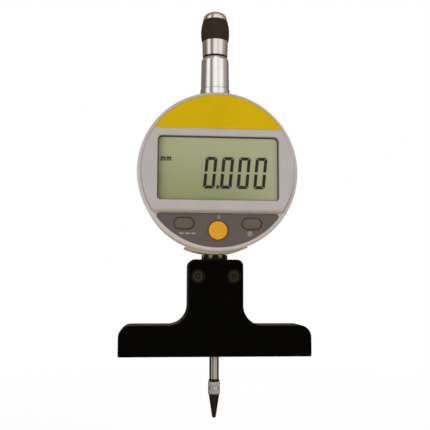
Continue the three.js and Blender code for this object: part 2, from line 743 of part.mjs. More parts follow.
function raisedPanel() {
  const rearY = rimFrontY + bezelWall / 2;
  const plate = prism(discSegment(panelRadius, slopeFootRise, true, 0, roundSides.large),
    'y', panelFrontY, rearY, panelEdgeBreak);
  const crest = caseZ + panelFoot;
  const foot = caseZ + slopeFootRise;
  const curve = new THREE.QuadraticBezierCurve(
    new THREE.Vector2(panelFrontY, crest), new THREE.Vector2(panelFrontY, (crest + foot) / 2),
    new THREE.Vector2(rimFrontY, foot));
  const wedge = new THREE.Shape([
    new THREE.Vector2(panelFrontY - cutOverrun, foot - cutOverrun),
    new THREE.Vector2(rearY, foot - cutOverrun),
    new THREE.Vector2(rearY, foot),
    ...curve.getPoints(6).reverse(),
    new THREE.Vector2(panelFrontY - cutOverrun, crest),
  ]);
  return cut(plate, prism(wedge, 'x', -panelRadius - cutOverrun, panelRadius + cutOverrun));
}

function frontBezel() {
  const posts = coverScrewPlaces.map(([x, z]) => rod(bezelBossDiameter, rimFrontY + bezelWall / 2,
    caseFrontY - seatGap, 'y', [x, 0, z], roundSides.fine));
  const screwHoles = coverScrewPlaces.map(([x, z]) => hole(coverScrewDiameter + 2 * screwFit,
    bezelInnerY + seatGap, caseFrontY + cutOverrun, 'y', [x, 0, z], roundSides.fine));
  const opening = prism(windowOutline(0), 'y', panelFrontY - cutOverrun, bezelInnerY + cutOverrun);
  const dish = prism(discSegment(keypadRadius, keypadChord, false, keypadCornerRadius),
    'y', rimFrontY - cutOverrun, keypadFloorY);
  const buttonHoles = Object.keys(buttonPlaces).map((name) => prism(
    buttonOutline(name, buttonClearance), 'y', rimFrontY - cutOverrun, bezelInnerY + cutOverrun));
  return cut(join(bezelShell(), raisedPanel(), ...posts), opening, dish, ...buttonHoles, ...screwHoles);
}

const topBand = () => prism(discSegment(panelRadius - filmInset, filmChord, true),
  'y', panelFrontY - seatGap / 2 - filmThickness, panelFrontY - seatGap / 2);

function keypadPanel() {
  const plate = prism(discSegment(keypadRadius - pressFit, keypadChord - pressFit, false,
    keypadCornerRadius), 'y', keypadFrontY, keypadRearY);
  const holes = Object.keys(buttonPlaces).map((name) => prism(
    buttonOutline(name, buttonClearance), 'y', keypadFrontY - cutOverrun, keypadRearY + cutOverrun));
  return cut(plate, ...holes);
}

function pillButton(name) {
  const cap = prism(buttonOutline(name, 0), 'y', buttonFrontY, buttonRearY, buttonEdgeBreak);
  const flange = prism(buttonOutline(name, buttonFlange), 'y', buttonFlangeY, buttonRearY);
  return join(cap, flange);
}

function roundButton() {
  const [x, z] = buttonPlaces.zero_button;
  const radius = roundButtonDiameter / 2;
  const rim = radius - buttonEdgeBreak;
  return turned([
    [0, buttonFrontY], [rim / 2, buttonFrontY + buttonCrown / 4], [rim, buttonFrontY + buttonCrown],
    [radius, buttonFrontY + buttonCrown + buttonEdgeBreak], [radius, buttonFlangeY],
    [radius + buttonFlange, buttonFlangeY], [radius + buttonFlange, buttonRearY], [0, buttonRearY],
  ], 'y', [x, 0, z]);
}

// Display window, gasket, display cell, holder, connector strips, board and keypad mat
const displayWindow = () => prism(windowOutline(-pressFit), 'y',
  windowFrontY, windowFrontY + windowThickness);

function frameRing(outer, inner, from, to) {
  return cut(prism(outer, 'y', from, to), prism(inner, 'y', from - cutOverrun, to + cutOverrun));
}

const windowGasket = () => frameRing(windowOutline(gasketMargin), windowOutline(-gasketInset),
  gasketFrontY, gasketFrontY + gasketThickness);

const lcdOutline = (margin) => rectangle(0, windowZ,
  windowWidth + 2 * (lcdMargin + margin), windowHeight + 2 * (lcdMargin + margin));

function lcdCell() {
  const rearY = lcdFrontY + lcdThickness;
  const front = prism(rectangle(0, windowZ, windowWidth + 2 * lcdMargin,
    windowHeight + 2 * lcdMargin - 2 * lcdStep), 'y', lcdFrontY, lcdFrontY + lcdThickness / 2);
  const rear = prism(lcdOutline(0), 'y', lcdFrontY + lcdThickness / 2, rearY);
  return join(front, rear);
}

const lcdHolder = () => frameRing(lcdOutline(0), lcdOutline(-holderBar - stripInset + stripWidth),
  holderFrontY, holderFrontY + holderThickness);

function connectorStrip(side) {
  const rise = windowZ + side * (windowHeight / 2 + lcdMargin - holderBar - stripInset);
  return prism(rectangle(0, rise, windowWidth - 2 * holderBar, stripWidth),
    'y', holderFrontY, holderFrontY + holderThickness);
}

function mainBoard() {
  const board = rod(2 * boardRadius, boardFrontY, boardRearY, 'y', [0, 0, caseZ], roundSides.large);
  const notches = coverScrewPlaces.map(([x, z]) => hole(bezelBossDiameter + 2 * boardNotchClearance,
    boardFrontY - cutOverrun, boardRearY + cutOverrun, 'y', [x, 0, z], roundSides.fine));
  return cut(board, ...notches);
}

function keypadMat() {
  const rearY = boardFrontY - seatGap;
  const frontY = rearY - matThickness;
  const chord = keypadChord - pillDrop + pillHeight / 2 + matMargin;
  const sheet = prism(discSegment(matRadius, chord, false), 'y', frontY, rearY);
  const domes = Object.values(buttonPlaces).map(([x, z]) => {
    const foot = domeRadiusShare * pillHeight / 2;
    return turned([
      [0, domeTopY], [foot / 2, domeTopY], [foot, (domeTopY + frontY) / 2], [foot, rearY], [0, rearY],
    ], 'y', [x, 0, z], roundSides.fine);
  });
  return join(sheet, ...domes);
}

// Spindle with a threaded stud for the knob and a threaded hole for the contact point
function spindle() {
  const stud = knobStudDiameter / 2;
  const rodTop = spindleTopZ;
  const body = turned([
    [0, spindleFootZ], [spindleRadius, spindleFootZ], [spindleRadius, rodTop],
    [stud, rodTop], [stud, rodTop + knobStudLength], [0, rodTop + knobStudLength],
  ], 'z');
  const socket = hole(contactStudDiameter + 2 * pressFit, spindleFootZ - cutOverrun,
    contactTopZ + contactStudLength + seatGap, 'z', [0, 0, 0], roundSides.fine);
  return cut(body, socket);
}

// Contact point: washer, toothed ferrule and hardened cone
const washerZ = contactTopZ - washerThickness;
const ferruleTopZ = washerZ - seatGap;
const ferruleZ = ferruleTopZ - ferruleLength;
const coneTopZ = ferruleZ - seatGap;

const contactWasher = () => sleeve(washerDiameter, contactStudDiameter + 2 * pressFit,
  washerZ, contactTopZ, 'z');

function contactFerrule() {
  const outer = ferruleDiameter / 2;
  const root = outer - ferruleToothDepth;
  const teeth = Array.from({ length: 2 * ferruleToothCount }, (_, i) => {
    const turn = (i * Math.PI) / ferruleToothCount;
    const radius = i % 2 ? root : outer;
    return new THREE.Vector2(radius * Math.cos(turn), radius * Math.sin(turn));
  });
  const body = prism(new THREE.Shape(teeth), 'z', ferruleZ, ferruleTopZ, ferruleEdgeBreak);
  const stud = rod(contactStudDiameter, ferruleTopZ - ferruleLength / 2,
    contactTopZ + contactStudLength, 'z', [0, 0, 0], roundSides.fine);
  const socket = hole(coneStudDiameter + 2 * pressFit, ferruleZ - cutOverrun,
    ferruleZ + coneStudLength, 'z', [0, 0, 0], roundSides.fine);
  return cut(join(body, stud), socket);
}

function contactCone() {
  const top = coneDiameter / 2;
  const tip = coneTopZ - coneLength;
  const turn = Math.atan2(top - coneTipRadius, coneLength - coneTipRadius);
  const nose = arcPoints(0, tip + coneTipRadius, coneTipRadius, -Math.PI / 2, -turn, 5);
  return turned([
    [0, tip], ...nose.slice(1).map((point) => [point.x, point.y]), [top, coneTopZ],
    [coneStudDiameter / 2, coneTopZ], [coneStudDiameter / 2, coneTopZ + coneStudLength - seatGap],
    [0, coneTopZ + coneStudLength - seatGap],
  ], 'z');
}

// Carrier clamped on the spindle, with an arm for the scale
const scaleMiddle = () => -carrierWidth / 2 - scaleOffset - scaleWidth / 2;
const scaleRearY = scaleThickness - scaleFaceDepth;
const scaleZ = carrierZ - scaleDrop;
const armFrontY = scaleRearY + seatGap;

function scaleCarrier() {
  const half = carrierWidth / 2;
  const body = block([-half, half], [-carrierFrontDepth, carrierRearY], [carrierZ, carrierTopZ]);
  const arm = block([scaleMiddle() - scaleWidth / 2, -half + cutOverrun],
    [armFrontY, armFrontY + scaleArmThickness], [carrierZ, carrierZ + scaleArmHeight]);
  const bore = hole(spindleDiameter + 2 * pressFit, carrierZ - cutOverrun, carrierTopZ + cutOverrun, 'z');
  const slit = block([-carrierSlitWidth / 2, carrierSlitWidth / 2],
    [-carrierFrontDepth - cutOverrun, 0], [carrierZ - cutOverrun, carrierTopZ + cutOverrun]);
  const screwHole = hole(carrierScrewDiameter + 2 * pressFit, -half - cutOverrun, half + cutOverrun,
    'x', carrierScrewPlace(), roundSides.fine);
  const pinHole = hole(guidePinDiameter + 2 * pressFit, half - guidePinSeat - seatGap, half + cutOverrun,
    'x', [0, 0, guidePinZ()], roundSides.fine);
  return cut(join(body, arm), bore, slit, screwHole, pinHole);
}

const carrierScrewPlace = () => [0, -carrierScrewDepth, carrierZ + carrierScrewRiseShare * carrierHeight];
const guidePinZ = () => carrierZ + guidePinRiseShare * carrierHeight;

function carrierScrew() {
  const half = carrierWidth / 2;
  const shank = carrierScrewDiameter / 2;
  const head = carrierHeadDiameter / 2;
  const under = half + seatGap;
  const body = turned([
    [0, -half], [shank, -half], [shank, under], [head, under],
    [head, under + carrierHeadHeight], [0, under + carrierHeadHeight],
  ], 'x', carrierScrewPlace(), roundSides.fine);
  const [, y, z] = carrierScrewPlace();
  const top = under + carrierHeadHeight;
  const slot = block([top - driverSlotDepth, top + cutOverrun],
    [y - driverSlotWidth / 2, y + driverSlotWidth / 2], [z - 2 * head, z + 2 * head]);
  return cut(body, slot);
}

const guidePin = () => rod(guidePinDiameter, carrierWidth / 2 - guidePinSeat, guidePinReach,
  'x', [0, 0, guidePinZ()], roundSides.fine);

const scaleStrip = () => block(
  [scaleMiddle() - scaleWidth / 2, scaleMiddle() + scaleWidth / 2],
  [-scaleFaceDepth, scaleRearY], [scaleZ, scaleZ + scaleLength]);

// Guide rail: a channel for the pin with a screwed tab at each end
const railFarX = guidePinReach + runningGap + railWidth / 5;
const railMiddle = () => railFarX - railWidth / 2;
const railLowZ = guidePinZ() - guidePinDiameter / 2 - runningGap;
const railHighZ = guidePinZ() + travel + guidePinDiameter / 2 + runningGap;

function railScrewHeights() {
  return [railLowZ - railTab / 2, railHighZ + railTab / 2];
}

function guideRail() {
  const body = block([railFarX - railWidth, railFarX], [webRearY + seatGap, railRearDepth],
    [railLowZ - railTab, railHighZ + railTab]);
  const half = guidePinDiameter / 2 + slideFit;
  const channel = block([railFarX - railWidth - cutOverrun, guidePinReach + runningGap],
    [-half, half], [railLowZ, railHighZ]);
  const holes = railScrewHeights().map((z) => hole(railScrewDiameter + 2 * screwFit,
    webRearY - cutOverrun, railRearDepth + cutOverrun, 'y', [railMiddle(), 0, z], roundSides.fine));
  return cut(body, channel, ...holes);
}

function railScrew(z) {
  const shank = railScrewDiameter / 2;
  const head = railHeadDiameter / 2;
  const under = railRearDepth + seatGap;
  const top = under + railHeadHeight;
  const body = turned([
    [0, caseFrontY + seatGap], [shank, caseFrontY + seatGap], [shank, under], [head, under],
    [head, top], [0, top],
  ], 'y', [railMiddle(), 0, z], roundSides.fine);
  const slot = prism(rectangle(railMiddle(), z, 3 * head, driverSlotWidth), 'y',
    top - driverSlotDepth, top + cutOverrun);
  return cut(body, slot);
}

// Reader in front of the scale, and the connector from it through the web to the board
function readerPlace() {
  return [scaleMiddle(), scaleZ + (scaleLength + travel) / 2];
}

function readerHead() {
  const [x, z] = readerPlace();
  return prism(rectangle(x, z, readerWidth, readerHeight), 'y',
    readerFrontY, readerFrontY + readerThickness);
}

function readerConnector() {
  const [x, z] = readerPlace();
  return prism(rectangle(x, z, connectorWidth, connectorHeight), 'y', boardRearY + seatGap, webRearY);
}

// Return spring round the spindle, between the carrier and the upper nut
class Helix extends THREE.Curve {
  constructor(radius, from, to, turns) {
    super();
    Object.assign(this, { radius, from, to, turns });
  }

  getPoint(share, target = new THREE.Vector3()) {
    const turn = share * this.turns * 2 * Math.PI;
    return target.set(this.radius * Math.cos(turn), this.radius * Math.sin(turn),
      this.from + (this.to - this.from) * share);
  }
}

function returnSpring() {
  const wire = springWireDiameter / 2;
  const section = new THREE.Shape(arcPoints(0, 0, wire, 0, 2 * Math.PI, 5).slice(1));
  const path = new Helix(springMeanDiameter / 2, carrierTopZ + seatGap + wire,
    upperBossFootZ - seatGap - wire, springTurns);
  return solidOf(new THREE.ExtrudeGeometry(section, {
    steps: 8 * springTurns, bevelEnabled: false, extrudePath: path,
  }));
}

// Upper nut, tube and bush
function tubeNut() {
  const foot = nutFootDiameter / 2;
  const top = nutTopDiameter / 2;
  const spigot = nutSpigotDiameter / 2;
  const bore = freeBore / 2;
  const well = tubeSpigotDiameter / 2 + pressFit;
  const wellZ = nutTopZ - tubeSpigotLength;
  return turned([
    [bore, upperBossFootZ], [spigot, upperBossFootZ], [spigot, nutZ], [foot, nutZ],
    [top, nutTopZ - nutChamfer], [top - nutChamfer, nutTopZ], [well, nutTopZ], [well, wellZ],
    [bore, wellZ], [bore, upperBossFootZ],
  ], 'z', [0, 0, 0], roundSides.middle);
}

function upperTube() {
  const foot = tubeFootDiameter / 2;
  const top = tubeTopDiameter / 2;
  const spigot = tubeSpigotDiameter / 2;
  const bore = tubeBore / 2;
  const hole = freeBore / 2;
  const footZ = nutTopZ - tubeSpigotLength + seatGap;
  return turned([
    [bore, footZ], [spigot, footZ], [spigot, tubeZ], [foot, tubeZ], [top, tubeTopZ - tubeTopChamferHeight],
    [top - tubeTopChamfer, tubeTopZ], [hole, tubeTopZ], [hole, tubeTopZ - tubeEndWall],
    [bore, tubeTopZ - tubeEndWall], [bore, footZ],
  ], 'z', [0, 0, 0], roundSides.middle);
}

const upperBush = () => sleeve(tubeBore - 2 * pressFit, bushBore,
  tubeTopZ - tubeEndWall - seatGap - upperBushLength, tubeTopZ - tubeEndWall - seatGap, 'z');

// Lifting knob: skirt and core in one, a barrel grip and a domed cap
function knobBody() {
  const foot = skirtFootDiameter / 2;
  const top = skirtTopDiameter / 2;
  const core = knobCoreDiameter / 2;
  const body = turned([
    [0, knobZ], [foot - skirtEdgeBreak, knobZ], [foot, knobZ + skirtEdgeBreak],
    [top, knobZ + skirtHeight], [core, knobZ + skirtHeight], [core, gripTopZ], [0, gripTopZ],
  ], 'z', [0, 0, 0], roundSides.middle);
  const lowerHole = hole(knobStudDiameter + 2 * pressFit, knobZ - cutOverrun,
    knobZ + knobStudLength, 'z', [0, 0, 0], roundSides.fine);
  const upperHole = hole(domeStudDiameter + 2 * pressFit, gripTopZ - domeStudLength,
    gripTopZ + cutOverrun, 'z', [0, 0, 0], roundSides.fine);
  return cut(body, lowerHole, upperHole);
}

function knobGrip() {
  const bore = knobCoreDiameter / 2 + pressFit;
  const barrel = new THREE.QuadraticBezierCurve(
    new THREE.Vector2(gripFootDiameter / 2, gripZ),
    new THREE.Vector2(gripWaistDiameter - (gripFootDiameter + gripTopDiameter) / 4,
      gripZ + gripWaistShare * gripHeight),
    new THREE.Vector2(gripTopDiameter / 2, gripTopZ));
  return turned([
    [bore, gripZ], ...barrel.getPoints(6).map((point) => [point.x, point.y]),
    [bore, gripTopZ], [bore, gripZ],
  ], 'z', [0, 0, 0], roundSides.middle);
}

function knobCap() {
  const radius = domeDiameter / 2;
  const shoulder = Math.min(domeEdgeRadius, radius / 2, domeHeight);
  const crown = (domeHeight - shoulder) / 4;
  const top = domeZ + domeHeight;
  const round = arcPoints(radius - shoulder, top - crown - shoulder, shoulder, 0, Math.PI / 2, 4);
  const stud = domeStudDiameter / 2;
  return turned([
    [0, domeZ - domeStudLength], [stud, domeZ - domeStudLength], [stud, domeZ], [radius, domeZ],
    ...round.map((point) => [point.x, point.y]), [0, top],
  ], 'z', [0, 0, 0], roundSides.middle);
}

// Every piece by name, with its finish
const pieces = [
  ['depth_base', 'blackOxide', depthBase()],
  ['clamp_screw_left', 'darkSteel', clampScrew(clampPlaces[0])],
  ['clamp_screw_right', 'darkSteel', clampScrew(clampPlaces[1])],
  ['stem', 'groundSteel', stem()],
  ['stem_collar', 'darkSteel', stemCollar()],
  ['lower_bush', 'bronze', lowerBush()],
  ['stop_ring', 'blackRubber', stopRing()],
  ['main_case', 'castAlloy', mainCase()],
  ['case_seal', 'blackRubber', caseSeal()],
  ['rear_cover', 'castAlloy', rearCover()],
  ...coverScrewPlaces.map((place, i) => [`cover_screw_${i + 1}`, 'darkSteel', coverScrew(place)]),
  ['battery_lid', 'castAlloy', batteryLid()],
  ['lid_seal', 'blackRubber', lidSeal()],
  ['battery', 'groundSteel', battery()],
  ['battery_minus_leaf', 'bronze', minusLeaf()],
  ['battery_plus_leaf', 'bronze', plusLeaf()],
  ['front_bezel', 'greyPlastic', frontBezel()],
  ['top_band', 'yellowFilm', topBand()],
  ['keypad_panel', 'darkPlastic', keypadPanel()],
  ['left_button', 'pillPlastic', pillButton('left_button')],
  ['right_button', 'pillPlastic', pillButton('right_button')],
  ['zero_button', 'orangePlastic', roundButton()],
  ['display_window', 'clearPlastic', displayWindow()],
  ['window_gasket', 'blackRubber', windowGasket()],
  ['lcd_cell', 'displayGlass', lcdCell()],
  ['lcd_holder', 'whitePlastic', lcdHolder()],
  ['connector_strip_upper', 'blackRubber', connectorStrip(1)],
  ['connector_strip_lower', 'blackRubber', connectorStrip(-1)],
  ['main_board', 'greenBoard', mainBoard()],
  ['keypad_mat', 'blackRubber', keypadMat()],
  ['spindle', 'chrome', spindle()],
  ['contact_washer', 'blackOxide', contactWasher()],
  ['contact_ferrule', 'groundSteel', contactFerrule()],
  ['contact_cone', 'blackOxide', contactCone()],
  ['scale_carrier', 'castAlloy', scaleCarrier()],
  ['carrier_screw', 'darkSteel', carrierScrew()],
  ['guide_pin', 'groundSteel', guidePin()],
  ['scale_strip', 'scaleGlass', scaleStrip()],
  ['guide_rail', 'castAlloy', guideRail()],
  ['rail_screw_lower', 'darkSteel', railScrew(railScrewHeights()[0])],
  ['rail_screw_upper', 'darkSteel', railScrew(railScrewHeights()[1])],
  ['reader_head', 'darkPlastic', readerHead()],
  ['reader_connector', 'whitePlastic', readerConnector()],
  ['return_spring', 'groundSteel', returnSpring()],
  ['tube_nut', 'chrome', tubeNut()],
  ['upper_tube', 'chrome', upperTube()],
  ['upper_bush', 'bronze', upperBush()],
  ['knob_body', 'chrome', knobBody()],
  ['knob_grip', 'gripBlack', knobGrip()],
  ['knob_cap', 'chrome', knobCap()],
];

const depthGauge = new THREE.Group();
for (const [name, finish, solid] of pieces) {
  const mesh = new THREE.Mesh(geometryOf(solid), new THREE.MeshStandardMaterial(finishes[finish]));
  mesh.name = name;
  depthGauge.add(mesh);
}

export default depthGauge;
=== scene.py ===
"""Depth gauge with a digital display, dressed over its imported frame.

The shapes are worked out in millimetres, with +Z up and the face of the gauge towards -Y, and
become metres where a mesh is made.
"""

import json
import logging
import math
from collections.abc import Callable, Iterable, Sequence
from dataclasses import dataclass
from enum import Enum
from functools import partialmethod
from typing import Any, Union

import bmesh
import bpy
import numpy as np
from mathutils import Matrix, Vector

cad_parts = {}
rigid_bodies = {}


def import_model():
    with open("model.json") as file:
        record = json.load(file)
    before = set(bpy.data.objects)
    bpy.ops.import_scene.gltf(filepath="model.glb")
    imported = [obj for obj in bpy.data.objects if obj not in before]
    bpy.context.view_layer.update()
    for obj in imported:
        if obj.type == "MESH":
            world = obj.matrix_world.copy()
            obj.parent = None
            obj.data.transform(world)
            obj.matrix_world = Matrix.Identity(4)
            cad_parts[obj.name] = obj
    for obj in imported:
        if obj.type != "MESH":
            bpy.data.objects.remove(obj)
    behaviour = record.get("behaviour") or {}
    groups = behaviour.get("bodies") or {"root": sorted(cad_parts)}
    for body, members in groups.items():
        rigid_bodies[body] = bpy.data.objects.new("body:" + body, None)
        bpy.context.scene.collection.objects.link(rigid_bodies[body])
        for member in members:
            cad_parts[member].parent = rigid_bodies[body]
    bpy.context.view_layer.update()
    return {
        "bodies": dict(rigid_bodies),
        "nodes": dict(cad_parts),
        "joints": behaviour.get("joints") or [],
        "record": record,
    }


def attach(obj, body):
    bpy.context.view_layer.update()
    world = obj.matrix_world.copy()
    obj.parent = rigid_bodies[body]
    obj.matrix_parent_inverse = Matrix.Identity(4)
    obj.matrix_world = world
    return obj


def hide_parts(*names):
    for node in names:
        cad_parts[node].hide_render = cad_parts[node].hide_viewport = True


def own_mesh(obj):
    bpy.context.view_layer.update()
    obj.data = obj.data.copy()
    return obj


log = logging.getLogger("depth_gauge")

Array = np.ndarray
Pair = tuple[float, float]
Triple = tuple[float, float, float]
Colour = Triple
Corners = Sequence[Sequence[float]]
Outline = Callable[[float], np.ndarray]
Number = Union[float, "Wave"]

MM = 0.001
OVERRUN = 1.0
FACE_CENTRE = 75.8992
POSTS = ((20.5922, 94.0492), (-20.5922, 94.0492), (-21.8988, 59.3492), (21.8988, 59.3492))


class Axis(Enum):
    """The line that a piece is turned about or stacked along."""

    ACROSS_FACE = "y"
    UP = "z"

    def spread(self, first: Array, second: Array, along: Array) -> Array:
        """Order three grids of coordinates and string them out as points."""
        order = (first, along, second) if self is Axis.ACROSS_FACE else (first, second, along)
        return np.stack(order, axis=-1).reshape(-1, 3)


class Side(Enum):
    """Which part of a disc a straight chord keeps."""

    ABOVE = 1
    BELOW = -1


class Carving(Enum):
    """How a tool solid works on a piece."""

    CUT = "DIFFERENCE"
    JOIN = "UNION"

    def by(self, *tools: "Surface") -> list[tuple["Carving", "Surface"]]:
        """Pair each tool with this way of working."""
        return [(self, tool) for tool in tools]


# ---------------------------------------------------------------- outlines and surfaces


def linear(red: int, green: int, blue: int) -> Colour:
    """Turn a display colour of 0 to 255 into the linear values that shaders use.

    Args:
        red: Red share.
        green: Green share.
        blue: Blue share.

    Returns:
        The linear colour.
    """
    shares = np.array([red, green, blue]) / 255
    straight = np.where(shares <= 0.04045, shares / 12.92, ((shares + 0.055) / 1.055) ** 2.4)
    return tuple(straight.tolist())


def arc(x: float, z: float, radius: float, start: float, end: float, steps: int) -> Array:
    """Points at centre + radius * (cos a, sin a), with a from start to end in degrees."""
    turn = np.radians(np.linspace(start, end, steps + 1))
    return np.stack([x + radius * np.cos(turn), z + radius * np.sin(turn)], axis=1)


def circle(x: float, z: float, radius: float, sides: int, start: float = 0) -> Array:
    """Closed outline of a circle with so many sides."""
    return arc(x, z, radius, start, start + 360, sides)[:-1]


def stepped(radii: Sequence[float], heights: Sequence[float]) -> list[Pair]:
    """Corners of a stepped profile, which goes from one radius to the next at each height.

    Args:
        radii: The radii in order, one more than the heights.
        heights: The heights at which the radius changes.

    Returns:
        The corners, two at each height.
    """
    return [corner for near, far, height in zip(radii, radii[1:], heights)
            for corner in ((near, height), (far, height))]


def filleted(corners: Corners, radii: Union[float, Sequence[float]], steps: int = 6) -> Array:
    """Round the corners of a closed outline.

    Each corner gives way to an arc that touches both sides: the arc's centre lies on the
    corner's bisector at radius / sin(half angle), and a point goes round it at an even pace.

    Args:
        corners: The outline's corners in order.
        radii: One radius for all corners or one for each.
        steps: Steps of each arc.

    Returns:
        The points of the rounded outline, steps + 1 for each corner.
    """
    points = np.asarray(corners, float)
    before = np.roll(points, 1, axis=0) - points
    after = np.roll(points, -1, axis=0) - points
    long_before = np.linalg.norm(before, axis=1, keepdims=True)
    long_after = np.linalg.norm(after, axis=1, keepdims=True)
    before, after = before / long_before, after / long_after
    half = np.arccos(np.clip((before * after).sum(axis=1, keepdims=True), -1, 1)) / 2
    room = np.minimum(long_before, long_after) * 0.499 * np.tan(half)
    wanted = np.broadcast_to(np.asarray(radii, float), len(points))[:, None]
    radius = np.minimum(wanted, room)
    centre = points + (before + after) / (2 * np.cos(half) + 1e-12) * radius / np.sin(half)
    first = points + before * radius / np.tan(half) - centre
    last = points + after * radius / np.tan(half) - centre
    sweep = np.maximum(np.pi - 2 * half, 1e-6)
    share = np.linspace(0, 1, steps + 1)[None, :, None]
    bend = (np.sin((1 - share) * sweep[:, None]) * first[:, None]
            + np.sin(share * sweep[:, None]) * last[:, None]) / np.sin(sweep)[:, None]
    return (centre[:, None] + bend).reshape(-1, 2)


def rounded_box(x: float, z: float, width: float, height: float,
                radii: Union[float, Sequence[float]], steps: int = 6) -> Array:
    """Outline of a box with round corners, from the lower right corner anticlockwise."""
    corners = np.array([(1, -1), (1, 1), (-1, 1), (-1, -1)]) * (width / 2, height / 2) + (x, z)
    return filleted(corners, radii, steps)


def disc_part(z: float, radius: float, chord: float, side: Side, corner: float,
              steps: int = 96) -> Array:
    """Outline of the part of a disc that a level chord keeps, with round ends.

    The arc's round end is a circle that touches the disc from inside and the chord, so its
    centre is radius - corner from the disc's centre and corner from the chord.

    Args:
        z: Height of the disc's centre.
        radius: Radius of the disc.
        chord: Height of the chord from that centre.
        side: The part that is kept.
        corner: Radius of the two round ends.
        steps: Steps of the long arc.

    Returns:
        The outline's points.
    """
    rise = side.value * chord + corner
    reach = math.sqrt(max((radius - corner) ** 2 - rise ** 2, 0))
    angle = math.degrees(math.atan2(rise, reach))
    points = np.concatenate([arc(reach, rise, corner, -90, angle, 6),
                             arc(0, 0, radius, angle, 180 - angle, steps),
                             arc(-reach, rise, corner, 180 - angle, 270, 6)])
    return points * (1, side.value) + (0, z)


@dataclass
class Surface:
    """Points and faces of a piece in millimetres."""

    points: Array
    faces: list[Sequence[int]]

    def mesh(self, name: str) -> bpy.types.Mesh:
        """Make the mesh in metres, with poles closed and faces outwards.

        Args:
            name: Name of the mesh.

        Returns:
            The new mesh.
        """
        mesh = bpy.data.meshes.new(name)
        mesh.from_pydata((self.points * MM).tolist(), [], self.faces)
        return tidied(mesh)


def together(shells: Sequence[Surface]) -> Surface:
    """Put separate closed shells into one piece.

    Args:
        shells: The shells.

    Returns:
        One surface with all their points and faces.
    """
    starts = np.cumsum([0, *(len(shell.points) for shell in shells)]).tolist()
    faces = [[index + start for index in face]
             for shell, start in zip(shells, starts) for face in shell.faces]
    return Surface(np.concatenate([shell.points for shell in shells]), faces)


def tidied(mesh: bpy.types.Mesh) -> bpy.types.Mesh:
    """Merge doubles, drop faces of no size and turn the rest outwards.

    Args:
        mesh: The mesh, changed in place.

    Returns:
        The same mesh.
    """
    work = bmesh.new()
    work.from_mesh(mesh)
    bmesh.ops.remove_doubles(work, verts=work.verts, dist=1e-6)
    bmesh.ops.dissolve_degenerate(work, edges=work.edges, dist=1e-7)
    bmesh.ops.recalc_face_normals(work, faces=work.faces)
    work.to_mesh(mesh)
    work.free()
    return mesh


def quads(rows: int, columns: int, closed_rows: bool = False) -> list[Sequence[int]]:
    """Faces of a grid of rows by columns whose columns close on themselves.

    Args:
        rows: Rows of points.
        columns: Points in each row.
        closed_rows: Whether the last row joins the first.

    Returns:
        The faces, each a list of point numbers.
    """
    row = np.arange(rows if closed_rows else rows - 1)[:, None]
    column = np.arange(columns)[None, :]
    following = (column + 1) % columns
    above = (row + 1) % rows
    corners = [row * columns + column, row * columns + following,
               above * columns + following, above * columns + column]
    return np.stack(np.broadcast_arrays(*corners), axis=-1).reshape(-1, 4).tolist()


def turned(profile: Corners, axis: Axis = Axis.ACROSS_FACE, x: float = 0, z: float = 0,
           sides: int = 96) -> Surface:
    """Turn a profile of (radius, height) points about an axis.

    point(u, v) = place + radius(v) * (cos u, sin u) across the axis + height(v) along it. A
    profile that starts away from the axis closes on itself and makes a ring.

    Args:
        profile: Points of radius and height.
        axis: The axis.
        x: Place of the axis across.
        z: Place of the axis up.
        sides: Number of sides round the axis.

    Returns:
        The turned surface.
    """
    radius, height = np.hsplit(np.asarray(profile, float), 2)
    turn = np.linspace(0, 2 * np.pi, sides, endpoint=False)
    cosine, sine = radius * np.cos(turn), radius * np.sin(turn)
    points = axis.spread(cosine, sine, np.broadcast_to(height, cosine.shape))
    return Surface(points + (x, 0, z), quads(len(radius), sides, radius[0, 0] > 1e-9))


def lathed(corners: Corners, radii: Sequence[float], axis: Axis = Axis.ACROSS_FACE,
           x: float = 0, z: float = 0, sides: int = 96, steps: int = 4) -> Surface:
    """Turn a profile whose corners are rounded first."""
    return turned(filleted(corners, radii, steps), axis, x, z, sides)


def lofted(outlines: Sequence[Array], heights: Sequence[float],
           axis: Axis = Axis.ACROSS_FACE) -> Surface:
    """Skin a stack of outlines of equal count and close both ends with a flat face.

    point(u, v) = outline v at u, set at height v along the axis.

    Args:
        outlines: The outlines in order.
        heights: The place of each along the axis.
        axis: The axis that they stand across.

    Returns:
        The closed surface.
    """
    loops = np.stack(outlines)
    rows, columns, _ = loops.shape
    level = np.broadcast_to(np.asarray(heights, float)[:, None], (rows, columns))
    ends = [list(range(columns)), list(range((rows - 1) * columns, rows * columns))]
    return Surface(axis.spread(loops[..., 0], loops[..., 1], level), quads(rows, columns) + ends)


def swelled(outline: Outline, margins: Sequence[float], heights: Sequence[float]) -> Surface:
    """Skin one outline that is grown by a margin at each height."""
    return lofted([outline(margin) for margin in margins], heights)


def prism(outline: Corners, start: float, end: float, axis: Axis = Axis.ACROSS_FACE) -> Surface:
    """A straight prism on an outline."""
    points = np.asarray(outline, float)
    return lofted([points, points], [start, end], axis)


def plate(outline: Outline, rear: float, front: float, edge: float, steps: int) -> Surface:
    """A plate whose front edge is rounded.

    The edge turns through a from 0 to 90 degrees: the outline draws in by edge * (1 - cos a)
    while the height closes on the front by edge * (1 - sin a).

    Args:
        outline: Gives the outline grown by a margin.
        rear: Rear of the plate.
        front: Front of the plate.
        edge: Radius of the front edge.
        steps: Steps of that edge.

    Returns:
        The plate.
    """
    turn = np.radians(np.linspace(0, 90, steps + 1))
    ahead = math.copysign(1, rear - front)
    return swelled(outline, [0.0, *(-edge * (1 - np.cos(turn)))],
                   [rear, *(front + ahead * edge * (1 - np.sin(turn)))])


def flared(outline: Outline, face: float, depth: float, flare: float) -> Surface:
    """A tool for a hole through a face at -Y, with its mouth broken by a small slope."""
    return swelled(outline, [flare, flare, 0.0, 0.0],
                   [face - OVERRUN, face, face + flare, face + depth])


